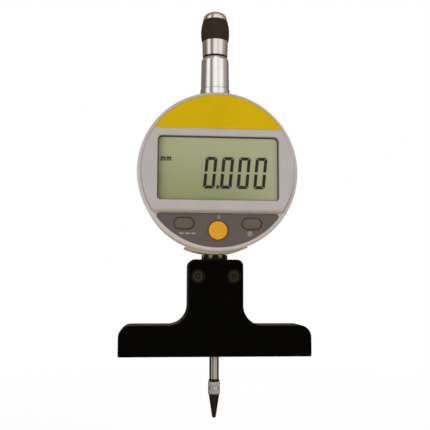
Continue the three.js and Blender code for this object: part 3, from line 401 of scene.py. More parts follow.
def drill(x: float, z: float, radius: float, start: float, end: float, sides: int) -> Surface:
    """A tool for a round hole through the face, from one depth to another."""
    return turned(stepped((0, radius, 0), (start, end)), x=x, z=z, sides=sides)


# ---------------------------------------------------------------- pieces


def placed(name: str, shape: bpy.types.ID) -> bpy.types.Object:
    """Stand a mesh, a lamp or a camera in the scene as an object.

    Args:
        name: Name of the object.
        shape: What the object holds.

    Returns:
        The object.
    """
    thing = bpy.data.objects.new(name, shape)
    bpy.context.scene.collection.objects.link(thing)
    return thing


def carved(whole: Surface, tools: Iterable[tuple[Carving, Surface]]) -> bpy.types.Mesh:
    """Work one solid with others, in order.

    Args:
        whole: The solid to work.
        tools: Each tool and how it works.

    Returns:
        The worked mesh.
    """
    blank = placed("blank", whole.mesh("blank"))
    used = [blank]
    for carving, tool in tools:
        used.append(placed("tool", tool.mesh("tool")))
        work = blank.modifiers.new("carving", "BOOLEAN")
        work.operation, work.solver, work.object = carving.value, "EXACT", used[-1]
    graph = bpy.context.evaluated_depsgraph_get()
    mesh = bpy.data.meshes.new_from_object(blank.evaluated_get(graph))
    for spent in used:
        shape = spent.data
        bpy.data.objects.remove(spent)
        bpy.data.meshes.remove(shape)
    return tidied(mesh)


def mark_edges(mesh: bpy.types.Mesh, gain: float = 9) -> None:
    """Store how near each face corner is to an edge, as the attribute "edge".

    The value is 1 less the cosine between the face's own normal and the mean normal of its
    corner, weighted by area, so a broad flat face keeps 0 and the narrow faces of a rounded
    edge rise towards 1.

    Args:
        mesh: The mesh.
        gain: How fast the value rises.
    """
    count = len(mesh.polygons)
    normals, areas, totals = np.empty(3 * count), np.empty(count), np.empty(count, int)
    vertices = np.empty(len(mesh.loops), int)
    mesh.polygons.foreach_get("normal", normals)
    mesh.polygons.foreach_get("area", areas)
    mesh.polygons.foreach_get("loop_total", totals)
    mesh.loops.foreach_get("vertex_index", vertices)
    owner = np.repeat(np.arange(count), totals)
    faces = normals.reshape(-1, 3)[owner]
    mean = np.zeros((len(mesh.vertices), 3))
    np.add.at(mean, vertices, faces * areas[owner, None])
    mean /= np.linalg.norm(mean, axis=1, keepdims=True) + 1e-20
    turn = 1 - (faces * mean[vertices]).sum(axis=1)
    edge = mesh.attributes.new("edge", "FLOAT", "CORNER")
    edge.data.foreach_set("value", np.clip(turn * gain, 0, 1))


@dataclass
class Part:
    """One finished piece and what the frame must know of it."""

    name: str
    slot: str
    node: str = ""
    finish: Union["Finish", None] = None
    body: str = "gauge"
    smooth: float = 32

    def make(self, shape: Union[Surface, bpy.types.Mesh]) -> bpy.types.Object:
        """Put the shape into the scene, shade it and tie it to the frame.

        Args:
            shape: A surface or a mesh that is ready.

        Returns:
            The new object.
        """
        mesh = shape.mesh(self.name) if isinstance(shape, Surface) else shape
        mesh.name = self.name
        mark_edges(mesh)
        mesh.polygons.foreach_set("use_smooth", np.ones(len(mesh.polygons), bool))
        mesh.set_sharp_from_angle(angle=math.radians(self.smooth))
        piece = placed(self.name, mesh)
        piece.modifiers.new("even_normals", "WEIGHTED_NORMAL").keep_sharp = True
        mesh.materials.append((self.finish or FINISH_OF_SLOT[self.slot]).material())
        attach(piece, self.body)
        if self.node:
            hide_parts(self.node)
        log.info("%s: %d faces on %s", self.name, len(mesh.polygons), self.body)
        return piece


# ---------------------------------------------------------------- shader maths


class Wave:
    """A number that varies over a surface: a socket whose operators add Math nodes."""

    def __init__(self, shade: "Shade", socket: bpy.types.NodeSocket) -> None:
        """Wrap a socket of a material's tree."""
        self.shade = shade
        self.socket = socket

    def math(self, operation: str, other: Number = 0.0, swapped: bool = False) -> "Wave":
        """Add one Math node on this value and another, in that order unless swapped."""
        pair = (other, self) if swapped else (self, other)
        return self.shade.wave("ShaderNodeMath", 0, dict(enumerate(pair)), operation=operation)

    __add__ = __radd__ = partialmethod(math, "ADD")
    __mul__ = __rmul__ = partialmethod(math, "MULTIPLY")
    __sub__ = partialmethod(math, "SUBTRACT")
    __rsub__ = partialmethod(math, "SUBTRACT", swapped=True)
    __truediv__ = partialmethod(math, "DIVIDE")
    __pow__ = partialmethod(math, "POWER")

    def beside(self, other: "Wave") -> "Wave":
        """Distance whose two coordinates are this value and another."""
        return (self * self + other * other) ** 0.5

    def step(self, low: float, high: float) -> "Wave":
        """Rise smoothly from 0 at low to 1 at high."""
        return self.shade.wave("ShaderNodeMapRange", "Result", {
            "Value": self, "From Min": low, "From Max": high}, interpolation_type="SMOOTHSTEP")


class Shade:
    """A material's tree with one shader and the few nodes that its finish needs."""

    def __init__(self, name: str) -> None:
        """Start an empty material with its shader and its output.

        Args:
            name: Name of the material.
        """
        self.material = bpy.data.materials.new(name)
        self.material.use_nodes = True
        self.tree = self.material.node_tree
        self.tree.nodes.clear()
        self.shader = self.node("ShaderNodeBsdfPrincipled")
        self.output = self.node("ShaderNodeOutputMaterial", {"Surface": self.shader.outputs[0]})

    def node(self, kind: str, inputs: dict[Union[str, int], Any] | None = None,
             **settings: Any) -> bpy.types.Node:
        """Add a node, set its settings, then fill or link its sockets.

        Args:
            kind: The node's type.
            inputs: Values, waves or sockets for its inputs.
            **settings: Its own settings.

        Returns:
            The node.
        """
        node = self.tree.nodes.new(kind)
        for key, value in settings.items():
            setattr(node, key, value)
        for key, value in (inputs or {}).items():
            self.feed(node.inputs[key], value)
        return node

    def wave(self, kind: str, output: Union[str, int],
             inputs: dict[Union[str, int], Any] | None = None, **settings: Any) -> Wave:
        """Add a node and give one of its outputs as a wave."""
        return Wave(self, self.node(kind, inputs, **settings).outputs[output])

    def feed(self, socket: bpy.types.NodeSocket, value: Any) -> None:
        """Link a wave or a socket, or set a plain value.

        Args:
            socket: The socket to fill.
            value: A wave, a socket or a plain value.
        """
        value = value.socket if isinstance(value, Wave) else value
        if isinstance(value, bpy.types.NodeSocket):
            self.tree.links.new(value, socket)
        else:
            colour = socket.type == "RGBA" and len(value) == 3
            socket.default_value = (*value, 1) if colour else value

    def set(self, **values: Any) -> None:
        """Fill the shader's sockets; an underscore in a name stands for a blank."""
        for name, value in values.items():
            self.feed(self.shader.inputs[name.replace("_", " ")], value)

    def place(self) -> bpy.types.NodeSocket:
        """Coordinates on the object in metres."""
        return self.node("ShaderNodeTexCoord").outputs["Object"]

    def axes(self) -> tuple[Wave, Wave, Wave]:
        """The three coordinates in millimetres."""
        node = self.node("ShaderNodeSeparateXYZ", {0: self.place()})
        return tuple(Wave(self, output) * 1000.0 for output in node.outputs)

    def edge(self) -> Wave:
        """Nearness of an edge, 0 to 1."""
        return self.wave("ShaderNodeAttribute", "Fac", attribute_name="edge")

    def upward(self) -> Wave:
        """How far the surface faces up, from 0 on a wall to 1 on a level top."""
        normal = self.node("ShaderNodeNewGeometry").outputs["Normal"]
        return self.wave("ShaderNodeSeparateXYZ", 2, {0: normal}).step(0.3, 0.95)

    def noise(self, grain: float, detail: float = 2, rough: float = 0.5,
              stretch: Triple = (1, 1, 1)) -> Wave:
        """Soft noise of 0 to 1.

        Args:
            grain: Size of its grains in millimetres.
            detail: Octaves.
            rough: Weight of the finer octaves.
            stretch: Scale along each axis.

        Returns:
            The noise.
        """
        mapped = self.node("ShaderNodeMapping", {"Vector": self.place(), "Scale": stretch})
        return self.wave("ShaderNodeTexNoise", 0, {
            "Vector": mapped.outputs[0], "Scale": 1 / (grain * MM), "Detail": detail,
            "Roughness": rough})

    def lines(self, value: Wave, width: float) -> Wave:
        """Noise in one dimension, for tool rings that lie across a value in millimetres.

        Args:
            value: Place across the rings.
            width: Usual width of a ring.

        Returns:
            The noise.
        """
        return self.wave("ShaderNodeTexNoise", 0, {
            "W": value / width, "Scale": 1.0, "Detail": 3.0, "Roughness": 0.6},
            noise_dimensions="1D")

    def ramp(self, value: Wave, stops: Sequence[Pair]) -> Wave:
        """Level that runs straight between stops of place and level.

        Args:
            value: Where the ramp is read, 0 to 1.
            stops: The stops in order.

        Returns:
            The level.
        """
        node = self.node("ShaderNodeValToRGB", {0: value})
        elements = node.color_ramp.elements
        while len(elements) < len(stops):
            elements.new(0.5)
        for element, (place, level) in zip(elements, stops):
            element.position = place
            element.color = (level, level, level, 1)
        return Wave(self, node.outputs[0])

    def mix(self, share: Number, first: Any, second: Any) -> bpy.types.NodeSocket:
        """Blend two colours."""
        node = self.node("ShaderNodeMix", {0: share, 6: first, 7: second}, data_type="RGBA")
        return node.outputs[2]

    def bump(self, height: Wave, depth: float) -> bpy.types.NodeSocket:
        """Normal of a relief whose depth is in millimetres."""
        return self.node("ShaderNodeBump", {
            "Strength": 1.0, "Distance": depth * MM, "Height": height}).outputs[0]


# ---------------------------------------------------------------- finishes


@dataclass(frozen=True)
class Finish:
    """A named finish; its material is made once."""

    name: str
    colour: Colour

    def material(self) -> bpy.types.Material:
        """Give the material, made at the first call.

        Returns:
            The material.
        """
        title = f"{self.name}_finish"
        known = bpy.data.materials.get(title)
        if known:
            return known
        shade = Shade(title)
        self.dress(shade)
        return shade.material

    def dress(self, shade: Shade) -> None:
        """Fill the shader; each kind of finish has its own way."""
        shade.set(Base_Color=self.colour)

    def tone(self, share: float) -> Colour:
        """The colour made lighter or darker."""
        return tuple(min(part * share, 1.0) for part in self.colour)


@dataclass(frozen=True)
class Moulded(Finish):
    """Moulded plastic with a spark-eroded grain and edges polished by hands."""

    roughness: float = 0.42
    grain: float = 0.16
    depth: float = 0.006
    specular: float = 0.4
    worn: float = 1.08

    def dress(self, shade: Shade) -> None:
        """Mottle the colour, roughen the face and let the edges shine a little.

        Args:
            shade: The material's tree.
        """
        slow = shade.noise(9, 3)
        fine = shade.noise(self.grain, 3, 0.65)
        edge = shade.edge()
        body = shade.mix(slow.step(0.3, 0.7), self.tone(0.965), self.tone(1.03))
        body = shade.mix((fine - 0.5).step(0.06, 0.3) * 0.35, body, self.tone(0.9))
        shade.set(
            Base_Color=self.varied(shade, shade.mix(edge * 0.7, body, self.tone(self.worn))),
            Roughness=self.roughness + (fine - 0.5) * 0.12 - edge * 0.12,
            Specular_IOR_Level=self.specular,
            Normal=shade.bump(fine, self.depth))

    def varied(self, shade: Shade, body: bpy.types.NodeSocket) -> bpy.types.NodeSocket:
        """Colour of the whole part; here it is the same all over."""
        return body


@dataclass(frozen=True)
class RimLitPlastic(Moulded):
    """Moulded plastic with a painted highlight that makes it paler round its rim."""

    # How much paler the rim's painted highlight makes it.
    rim: float = 1.17
    rim_radius: float = 31.6
    rim_blend: float = 0.3
    centre: float = FACE_CENTRE

    def varied(self, shade: Shade, body: bpy.types.NodeSocket) -> bpy.types.NodeSocket:
        """The paler tone of the painted highlight outside the rim's inner radius.

        Args:
            shade: The material's tree.
            body: The colour before it is varied.

        Returns:
            The colour.
        """
        across, _, height = shade.axes()
        outside = across.beside(height - self.centre).step(
            self.rim_radius - self.rim_blend, self.rim_radius + self.rim_blend)
        return shade.mix(outside, body, self.tone(self.rim))


@dataclass(frozen=True)
class Machined(Finish):
    """Turned or ground metal with fine tool rings across its axis."""

    roughness: float = 0.2
    ring: float = 0.09
    depth: float = 0.0006
    stain: float = 0.9

    def dress(self, shade: Shade) -> None:
        """Lay rings along Z and outwards from it, and a faint handling film.

        Args:
            shade: The material's tree.
        """
        across, depth, height = shade.axes()
        lines = shade.lines(height + across.beside(depth) * 1.7, self.ring)
        film = shade.noise(5, 4, 0.6)
        body = shade.mix(film.step(0.35, 0.75) * 0.6, self.colour, self.tone(self.stain))
        shade.set(
            Base_Color=shade.mix(shade.edge() * 0.5, body, self.tone(1.08)),
            Metallic=1.0,
            Roughness=self.roughness + (lines - 0.5) * 0.1 + (film - 0.5) * 0.08,
            Normal=shade.bump(lines, self.depth))


@dataclass(frozen=True)
class Blackened(Finish):
    """Steel under a black oxide, ground first, with bare steel starting at the edges."""

    bare: Colour = (0.16, 0.12, 0.09)
    roughness: float = 0.42
    specular: float = 0.12
    # Paler brown of faces that look up: partly dust, partly painted sheen of light from above.
    dust_and_top_sheen: Colour = (0.045, 0.03, 0.02)

    def bared(self, shade: Shade, wear: Wave) -> Wave:
        """Share of bare steel; here only what is worn."""
        return wear

    def dress(self, shade: Shade) -> None:
        """Vary the film with slow clouds and fine grinding lines, and wear its edges.

        Args:
            shade: The material's tree.
        """
        cloud = shade.noise(7, 4, 0.6)
        lines = shade.noise(0.35, 4, 0.65, (0.06, 1, 1))
        speck = shade.noise(0.25, 2)
        body = shade.mix(cloud.step(0.3, 0.75), self.tone(0.75), self.tone(1.5))
        # Upward faces go paler: partly dust, partly painted sheen of the light from above.
        body = shade.mix(shade.upward() * (0.6 + cloud * 0.4), body, self.dust_and_top_sheen)
        wear = shade.edge() * (0.35 + speck.step(0.4, 0.62) * 0.65) * 0.55
        wear = self.bared(shade, wear)
        shade.set(
            Base_Color=shade.mix(wear, body, self.bare),
            Metallic=wear * 0.8,
            Roughness=self.roughness + (lines - 0.5) * 0.25 + (cloud - 0.5) * 0.12,
            Specular_IOR_Level=self.specular,
            Normal=shade.bump(lines + speck * 0.6, 0.0035))


@dataclass(frozen=True)
class NotchedSteel(Blackened):
    """Blackened steel whose notches were cut after the blackening."""

    notch_radius: float = 5.25

    def bared(self, shade: Shade, wear: Wave) -> Wave:
        """Bare steel on the edges and wherever a notch reaches in.

        Args:
            shade: The material's tree.
            wear: Share that is worn.

        Returns:
            The share of bare steel.
        """
        across, depth, _ = shade.axes()
        inside = 1.0 - across.beside(depth).step(self.notch_radius - 0.1, self.notch_radius + 0.1)
        return wear.math("MAXIMUM", inside)


@dataclass(frozen=True)
class Printed(Finish):
    """Printed film with a fine even texture."""

    roughness: float = 0.34
    specular: float = 0.25

    def dress(self, shade: Shade) -> None:
        """Give the ink a slight unevenness and the film its fine grain.

        Args:
            shade: The material's tree.
        """
        slow, fine = shade.noise(14, 2), shade.noise(0.12, 2, 0.6)
        shade.set(
            Base_Color=shade.mix(slow.step(0.25, 0.75), self.tone(0.95), self.tone(1.04)),
            Roughness=self.roughness + (fine - 0.5) * 0.1,
            Specular_IOR_Level=self.specular,
            Normal=shade.bump(fine, 0.003))


@dataclass(frozen=True)
class CastPaint(Finish):
    """Die-cast metal under a fine matte paint."""

    def dress(self, shade: Shade) -> None:
        """Give the paint its orange-peel surface and slow lighter and darker patches.

        Args:
            shade: The material's tree.
        """
        peel, slow = shade.noise(0.5, 3, 0.55), shade.noise(12, 3)
        body = shade.mix(slow.step(0.3, 0.7), self.tone(0.95), self.tone(1.04))
        shade.set(
            Base_Color=shade.mix(shade.edge() * 0.6, body, self.tone(1.12)),
            Roughness=0.5 + (peel - 0.5) * 0.15,
            Specular_IOR_Level=0.4,
            Normal=shade.bump(peel, 0.012))


@dataclass(frozen=True)
class Rubber(Finish):
    """Matt black rubber with mould bloom."""

    def dress(self, shade: Shade) -> None:
        """Cloud the black with a grey bloom.

        Args:
            shade: The material's tree.
        """
        bloom = shade.noise(2.5, 4, 0.6)
        shade.set(
            Base_Color=shade.mix(bloom.step(0.35, 0.8), self.colour, self.tone(1.8)),
            Roughness=0.72 + (bloom - 0.5) * 0.2,
            Specular_IOR_Level=0.25,
            Normal=shade.bump(bloom, 0.01))


@dataclass(frozen=True)
class Board(Finish):
    """Circuit board under green mask, with copper runs showing through."""

    copper: Colour = (0.22, 0.3, 0.08)

    def dress(self, shade: Shade) -> None:
        """Lay runs as bands of a cell pattern.

        Args:
            shade: The material's tree.
        """
        cells = shade.wave("ShaderNodeTexVoronoi", "Distance", {
            "Vector": shade.place(), "Scale": 320.0}, distance="MANHATTAN", feature="F1")
        copper = 1.0 - (cells - 0.45).math("ABSOLUTE").step(0.03, 0.09)
        shade.set(
            Base_Color=shade.mix(copper, self.colour, self.copper),
            Roughness=0.35 + copper * 0.1,
            Normal=shade.bump(copper, 0.02))


@dataclass(frozen=True)
class LiquidCrystal(Finish):
    """Grey-green reflecting cell, yellower at the lower left, with painted shadow at the left."""

    pale: Colour = linear(166, 171, 143)
    deep: Colour = linear(136, 145, 100)
    # Colour of the painted shadow that the window's left wall casts on the cell.
    left_edge_shadow: Colour = (0.05, 0.055, 0.03)
    centre: Pair = (0.0, 76.7)
    size: Pair = (49.6, 26.3)

    def dress(self, shade: Shade) -> None:
        """Shade the cell across its width and height, with a very fine weave of dots.

        Args:
            shade: The material's tree.
        """
        across, _, height = shade.axes()
        up = (height - self.centre[1]) / self.size[1] + 0.5
        side = (across - self.centre[0]) / self.size[0] + 0.5
        body = shade.mix(up.step(-0.1, 1.0), self.deep, self.colour)
        body = shade.mix(side.step(0.5, 1.05) * 0.8, body, self.pale)
        # Painted shadow of the window's left wall, darkest at the cell's left edge.
        body = shade.mix((1.0 - side.step(-0.03, 0.085)) * 0.6, body, self.left_edge_shadow)
        fine = shade.noise(0.1, 1)
        shade.set(
            Base_Color=shade.mix(fine.step(0.45, 0.7) * 0.12, body, self.deep),
            Roughness=0.4 + (fine - 0.5) * 0.1,
            Specular_IOR_Level=0.3)


@dataclass(frozen=True)
class ClearPlate(Finish):
    """Clear hard plastic, with the faintest haze from wiping."""

    def dress(self, shade: Shade) -> None:
        """Keep the plate nearly invisible but for its gloss.

        Args:
            shade: The material's tree.
        """
        haze = shade.noise(6, 4, 0.6, (0.3, 1, 1))
        shade.set(
            Base_Color=self.colour,
            Alpha=0.025 + haze.step(0.5, 0.9) * 0.015,
            Roughness=0.06 + haze * 0.05,
            Specular_IOR_Level=0.3)


KEYPAD_PLASTIC = Moulded("keypad_plastic", linear(90, 84, 82), roughness=0.5, specular=0.3,
                         worn=1.5)
# Dark olive round the window: partly printed border, partly painted shadow of its edges.
MASK_INK_AND_SHADOW = Printed("window_mask_ink_and_shadow", linear(64, 58, 38), roughness=0.5)
MARK_INK = Printed("pale_mark_ink", linear(156, 150, 146))
SEGMENT_INK = Printed("display_segment", linear(19, 14, 9), roughness=0.5, specular=0.12)
SCREW_STEEL = Blackened("screw_steel", (0.006, 0.005, 0.004), bare=(0.12, 0.095, 0.06),
                        roughness=0.24, specular=0.2)
CONE_STEEL = Blackened("hardened_cone_steel", (0.014, 0.011, 0.008), bare=(0.25, 0.19, 0.14),
                       roughness=0.34, specular=0.3)
RING_STEEL = NotchedSteel("notched_ring_steel", (0.004, 0.0035, 0.003), bare=(0.9, 0.8, 0.6),
                          roughness=0.3, specular=0.3)
KNOB_STEEL = Machined("knob_steel", (0.78, 0.73, 0.7), roughness=0.12)
GROUND_STEEL = Machined("ground_steel", (0.54, 0.51, 0.46), roughness=0.1)
KNURLED_STEEL = Machined("knurled_steel", (0.96, 0.96, 1.0), roughness=0.28)

FINISH_OF_SLOT: dict[str, Finish] = {
    # Upward faces of the base go paler: dust and painted sheen.
    "black_oxide_steel": Blackened("black_oxide_steel", (0.0009, 0.0008, 0.0005),
                                   bare=(0.09, 0.065, 0.045), specular=0.035,
                                   dust_and_top_sheen=(0.036, 0.023, 0.014)),
    "dark_steel": Blackened("dark_steel", (0.009, 0.0075, 0.006), bare=(0.24, 0.19, 0.15),
                            roughness=0.26, specular=0.26),
    "ground_steel": GROUND_STEEL,
    "chrome": Machined("satin_chrome", (0.88, 0.87, 0.86), roughness=0.12),
    "bronze": Machined("bearing_bronze", (0.62, 0.38, 0.16), roughness=0.35),
    "cast_alloy": CastPaint("painted_cast_alloy", linear(184, 177, 165)),
    # The bezel's rim is painted paler, as a highlight of the light that falls on it.
    "grey_plastic": RimLitPlastic("grey_moulded_plastic", linear(174, 171, 174)),
    "yellow_film": Printed("yellow_film", linear(199, 168, 2), roughness=0.5, specular=0.06),
    "dark_plastic": Moulded("dark_moulded_plastic", linear(40, 40, 42), roughness=0.5),
    "pill_plastic": Moulded("pill_plastic", linear(92, 83, 75), roughness=0.46, worn=1.0),
    "orange_plastic": Moulded("orange_plastic", linear(211, 154, 18), roughness=0.4, grain=0.12),
    "clear_plastic": ClearPlate("clear_window_plastic", (0.3, 0.31, 0.3)),
    "display_glass": LiquidCrystal("display_cell", linear(162, 168, 135)),
    "black_rubber": Rubber("black_rubber", (0.012, 0.012, 0.012)),
    "white_plastic": Moulded("white_moulded_plastic", linear(222, 220, 212), roughness=0.5),
    "circuit_board": Board("circuit_board", (0.01, 0.1, 0.035)),
    "scale_glass": Machined("scale_glass", (0.45, 0.5, 0.52), roughness=0.12, ring=0.2,
                            depth=0.0002),
    "grip_plastic": Moulded("grip_plastic", linear(46, 36, 26), roughness=0.6, grain=0.3,
                            depth=0.012, specular=0.2, worn=1.3),
}


# ---------------------------------------------------------------- base and stem


@dataclass
class DepthBase:
    """The tee-shaped base with its measuring face, bore, clamp slit and two screws."""

    length: float = 80
    depth: float = 16
    height: float = 40
    arm_height: float = 12.9
    neck_width: float = 22.9
    neck_fillet: float = 8
    arm_corner: float = 5
    neck_corner: float = 2.7
    foot_corner: float = 0.8
    edge: float = 0.4
    bevel: float = 0.3
    stem_bore: float = 4.05
    contact_bore: float = 2.95
    stem_foot: float = 15.95
    slit_width: float = 1.2
    slit_foot: float = 22
    screw_spread: float = 7.5
    screw_height: float = 33
    screw_play: float = 0.2
    head_radius: float = 2.5
    head_height: float = 3
    head_sink: float = 0.3
    shank_radius: float = 1.5
    shank_end: float = 7.1
    socket_width: float = 2.6
    socket_depth: float = 1.6

    def outline(self, margin: float) -> Array:
        """Outline of the base from the front, grown by a margin.

        Args:
            margin: Growth of the outline.

        Returns:
            The outline's points.
        """
        half = self.length / 2 + margin
        neck = self.neck_width / 2 + margin
        low, arm, high = -margin, self.arm_height + margin, self.height + margin
        corners = [(-half, low), (half, low), (half, arm), (neck, arm), (neck, high),
                   (-neck, high), (-neck, arm), (-half, arm)]
        foot, end, top = (radius + margin for radius in (
            self.foot_corner, self.arm_corner, self.neck_corner))
        inner = self.neck_fillet - margin
        return filleted(corners, np.maximum([foot, foot, end, inner, top, top, inner, end], 0.05),
                        12)

    def body(self) -> bpy.types.Mesh:
        """Skin the outline with both edges rounded, then bore, slit and counterbore it.

        Returns:
            The base.
        """
        turn = np.radians(np.linspace(0, 90, 5))
        inset = -self.edge * (1 - np.sin(turn))
        drop = self.edge * (1 - np.cos(turn))
        front = -self.depth / 2
        whole = swelled(self.outline, [*inset, *inset[::-1]],
                        [*(front + drop), *(-front - drop[::-1])])
        lower, upper, bevel, top = self.contact_bore, self.stem_bore, self.bevel, self.height
        bore = [(0, -OVERRUN), (lower + bevel + OVERRUN, -OVERRUN), (lower + bevel, 0),
                (lower, bevel), (lower, self.stem_foot), (upper, self.stem_foot),
                (upper, top - bevel), (upper + bevel, top),
                (upper + bevel + OVERRUN, top + OVERRUN), (0, top + OVERRUN)]
        above = top + OVERRUN
        slit = prism(rounded_box(0, (self.slit_foot + above) / 2, self.neck_width + 2 * OVERRUN,
                                 above - self.slit_foot, 0.01, 1),
                     -self.slit_width / 2, self.slit_width / 2)
        seats = [self.counterbore(side * self.screw_spread) for side in (-1, 1)]
        return carved(whole, Carving.CUT.by(turned(bore, Axis.UP), slit, *seats))

    def counterbore(self, across: float) -> Surface:
        """Tool for one screw's seat and its clearance hole.

        Args:
            across: Place of the screw across the neck.

        Returns:
            The tool.
        """
        front, play = -self.depth / 2, self.screw_play
        seat = front + self.head_sink + self.head_height + play / 2
        wide, narrow = self.head_radius + play, self.shank_radius + play
        profile = [(0, front - OVERRUN), (wide + play + OVERRUN, front - OVERRUN),
                   (wide + play, front), (wide, front + play),
                   *stepped((wide, narrow, 0), (seat, OVERRUN - front))]
        return turned(profile, x=across, z=self.screw_height, sides=64)

    def screw(self, across: float) -> bpy.types.Mesh:
        """Socket-head screw with a six-sided socket.

        Args:
            across: Place of the screw across the neck.

        Returns:
            The screw.
        """
        front = self.head_sink - self.depth / 2
        head = lathed(stepped((0, self.head_radius, self.shank_radius, 0),
                              (front, front + self.head_height, self.shank_end)),
                      [0, 0.35, 0.1, 0, 0.3, 0], x=across, z=self.screw_height, sides=64)
        reach = self.socket_width / math.sqrt(3)
        socket = flared(lambda margin: circle(across, self.screw_height, reach + margin, 6, 30),
                        front, self.socket_depth, 0.15)
        return carved(head, Carving.CUT.by(socket))

    def build(self) -> None:
        """Make the base and its screws."""
        Part("base_block", "black_oxide_steel", "depth_base").make(self.body())
        for label, side in (("left", -1), ("right", 1)):
            Part(f"clamp_socket_screw_{label}", "dark_steel", f"clamp_screw_{label}",
                 SCREW_STEEL).make(self.screw(side * self.screw_spread))


@dataclass
class Stem:
    """The clamped stem and the notched ring nut between the base and the case."""

    foot: float = 15.95
    radius: float = 4
    bore: float = 3
    flange_foot: float = 47.45
    flange_top: float = 48.65
    flange_radius: float = 5.2
    ring_foot: float = 40.1
    ring_height: float = 2
    ring_radius: float = 5.55
    ring_play: float = 0.05
    notches: int = 8
    notch_width: float = 1.5
    notch_depth: float = 0.8
    notch_height: float = 0.9
    notch_corner: float = 0.12

    def tube(self) -> Surface:
        """The stem with its bore and upper flange.

        Returns:
            The stem.
        """
        corners = stepped((self.bore, self.radius, self.flange_radius, self.bore),
                          (self.foot, self.flange_foot, self.flange_top))
        return lathed(corners, [0.1, 0.4, 0.1, 0.15, 0.15, 0.1], Axis.UP)

    def ring(self) -> bpy.types.Mesh:
        """The ring nut with its notches.

        Returns:
            The ring nut.
        """
        bore, top = self.radius + self.ring_play, self.ring_foot + self.ring_height
        whole = lathed(stepped((bore, self.ring_radius, bore), (self.ring_foot, top)),
                       [0.1, 0.2, 0.2, 0.1], Axis.UP)
        box = rounded_box(0, -self.ring_radius, self.notch_width, 2 * self.notch_depth,
                          self.notch_corner, 3)
        notches = []
        for turn in (np.arange(self.notches) + 0.5) * 2 * np.pi / self.notches:
            spin = np.array([(np.cos(turn), np.sin(turn)), (-np.sin(turn), np.cos(turn))])
            notches.append(prism(box @ spin, top - self.notch_height, top + OVERRUN, Axis.UP))
        return carved(whole, Carving.CUT.by(*notches))

    def build(self) -> None:
        """Make the stem and its ring nut."""
        Part("stem_tube", "ground_steel", "stem").make(self.tube())
        Part("ring_nut", "dark_steel", "stem_collar", RING_STEEL).make(self.ring())


# ---------------------------------------------------------------- case and rear cover


@dataclass
class CaseBody:
    """The cast case: a ring with a chin, a boss under the stem and one under the nut."""

    centre: float = FACE_CENTRE
    radius: float = 32.0492
    inner_radius: float = 30.4492
    front: float = -9.2
    web: float = -8
    rear: float = 7.1
    edge: float = 0.35
    chin_radius: float = 33.6992
    chin_width: float = 26.3
    chin_sink: float = 0.02
    chin_edge: float = 0.3
    lower_boss: Triple = (6.5, 44.65, 47.35)
    upper_boss: Triple = (7.05, 105.1484, 108.5484)
    stem_hole: Triple = (4.05, 40, 48.5)
    nut_hole: Triple = (5.25, 104, 110)
    posts: tuple[Pair, ...] = POSTS
    post_radius: float = 3.2
    post_foot: float = -8.6
    post_top: float = 7.05
    screw_radius: float = 1.2
    reader_hole: tuple[float, ...] = (-9.6, 75.55, 6.6, 5.6, 0.3)
    rail_holes: tuple[Pair, ...] = ((11.4, 54.45), (11.4, 86.65))
    rail_hole_radius: float = 1.1

    def chin(self, margin: float) -> Array:
        """Outline of the chin: a band that stands out under the case and roots in its wall.

        Args:
            margin: Growth of the outline.

        Returns:
            The outline's points.
        """
        radius = self.chin_radius + margin
        root = (self.radius + self.inner_radius) / 2
        turn = math.degrees(math.asin((self.chin_width / 2 + margin) / radius))
        return np.concatenate([arc(0, self.centre, radius, -90 - turn, -90 + turn, 24),
                               arc(0, self.centre, root, turn - 91, -89 - turn, 24)])

    def boss(self, radius: float, foot: float, top: float) -> Surface:
        """A round boss with its upper edge softened."""
        return lathed(stepped((0, radius, 0), (foot, top)), [0, 0, 0.3, 0], Axis.UP, sides=64)

    def shell(self) -> bpy.types.Mesh:
        """Turn the ring with its front web, add chin, bosses and posts, and drill it.

        Returns:
            The case.
        """
        ring = lathed(stepped((0, self.radius, self.inner_radius, 0),
                              (self.front, self.rear, self.web)),
                      [0, self.edge, self.edge, 0.1, 0.6, 0], z=self.centre, sides=192)
        soft, low, high = self.chin_edge, self.front + self.chin_sink, self.rear - self.chin_sink
        chin = swelled(self.chin, [-soft, 0, 0, -soft], [low, low + soft, high - soft, high])
        posts = [drill(*post, self.post_radius, self.post_foot, self.post_top, 32)
                 for post in self.posts]
        ahead, inside, behind = self.front - OVERRUN, self.web + OVERRUN, self.rear + OVERRUN
        holes = [drill(*post, self.screw_radius, ahead, behind, 24) for post in self.posts]
        holes += [drill(*hole, self.rail_hole_radius, ahead, inside, 24)
                  for hole in self.rail_holes]
        holes.append(prism(rounded_box(*self.reader_hole, 3), ahead, inside))
        holes += [turned(stepped((0, bore, 0), ends), Axis.UP, sides=58)
                  for bore, *ends in (self.stem_hole, self.nut_hole)]
        bosses = [self.boss(*self.lower_boss), self.boss(*self.upper_boss)]
        return carved(ring, Carving.JOIN.by(chin, *bosses, *posts) + Carving.CUT.by(*holes))

    def build(self) -> None:
        """Make the case."""
        Part("case_ring", "cast_alloy", "main_case").make(self.shell())


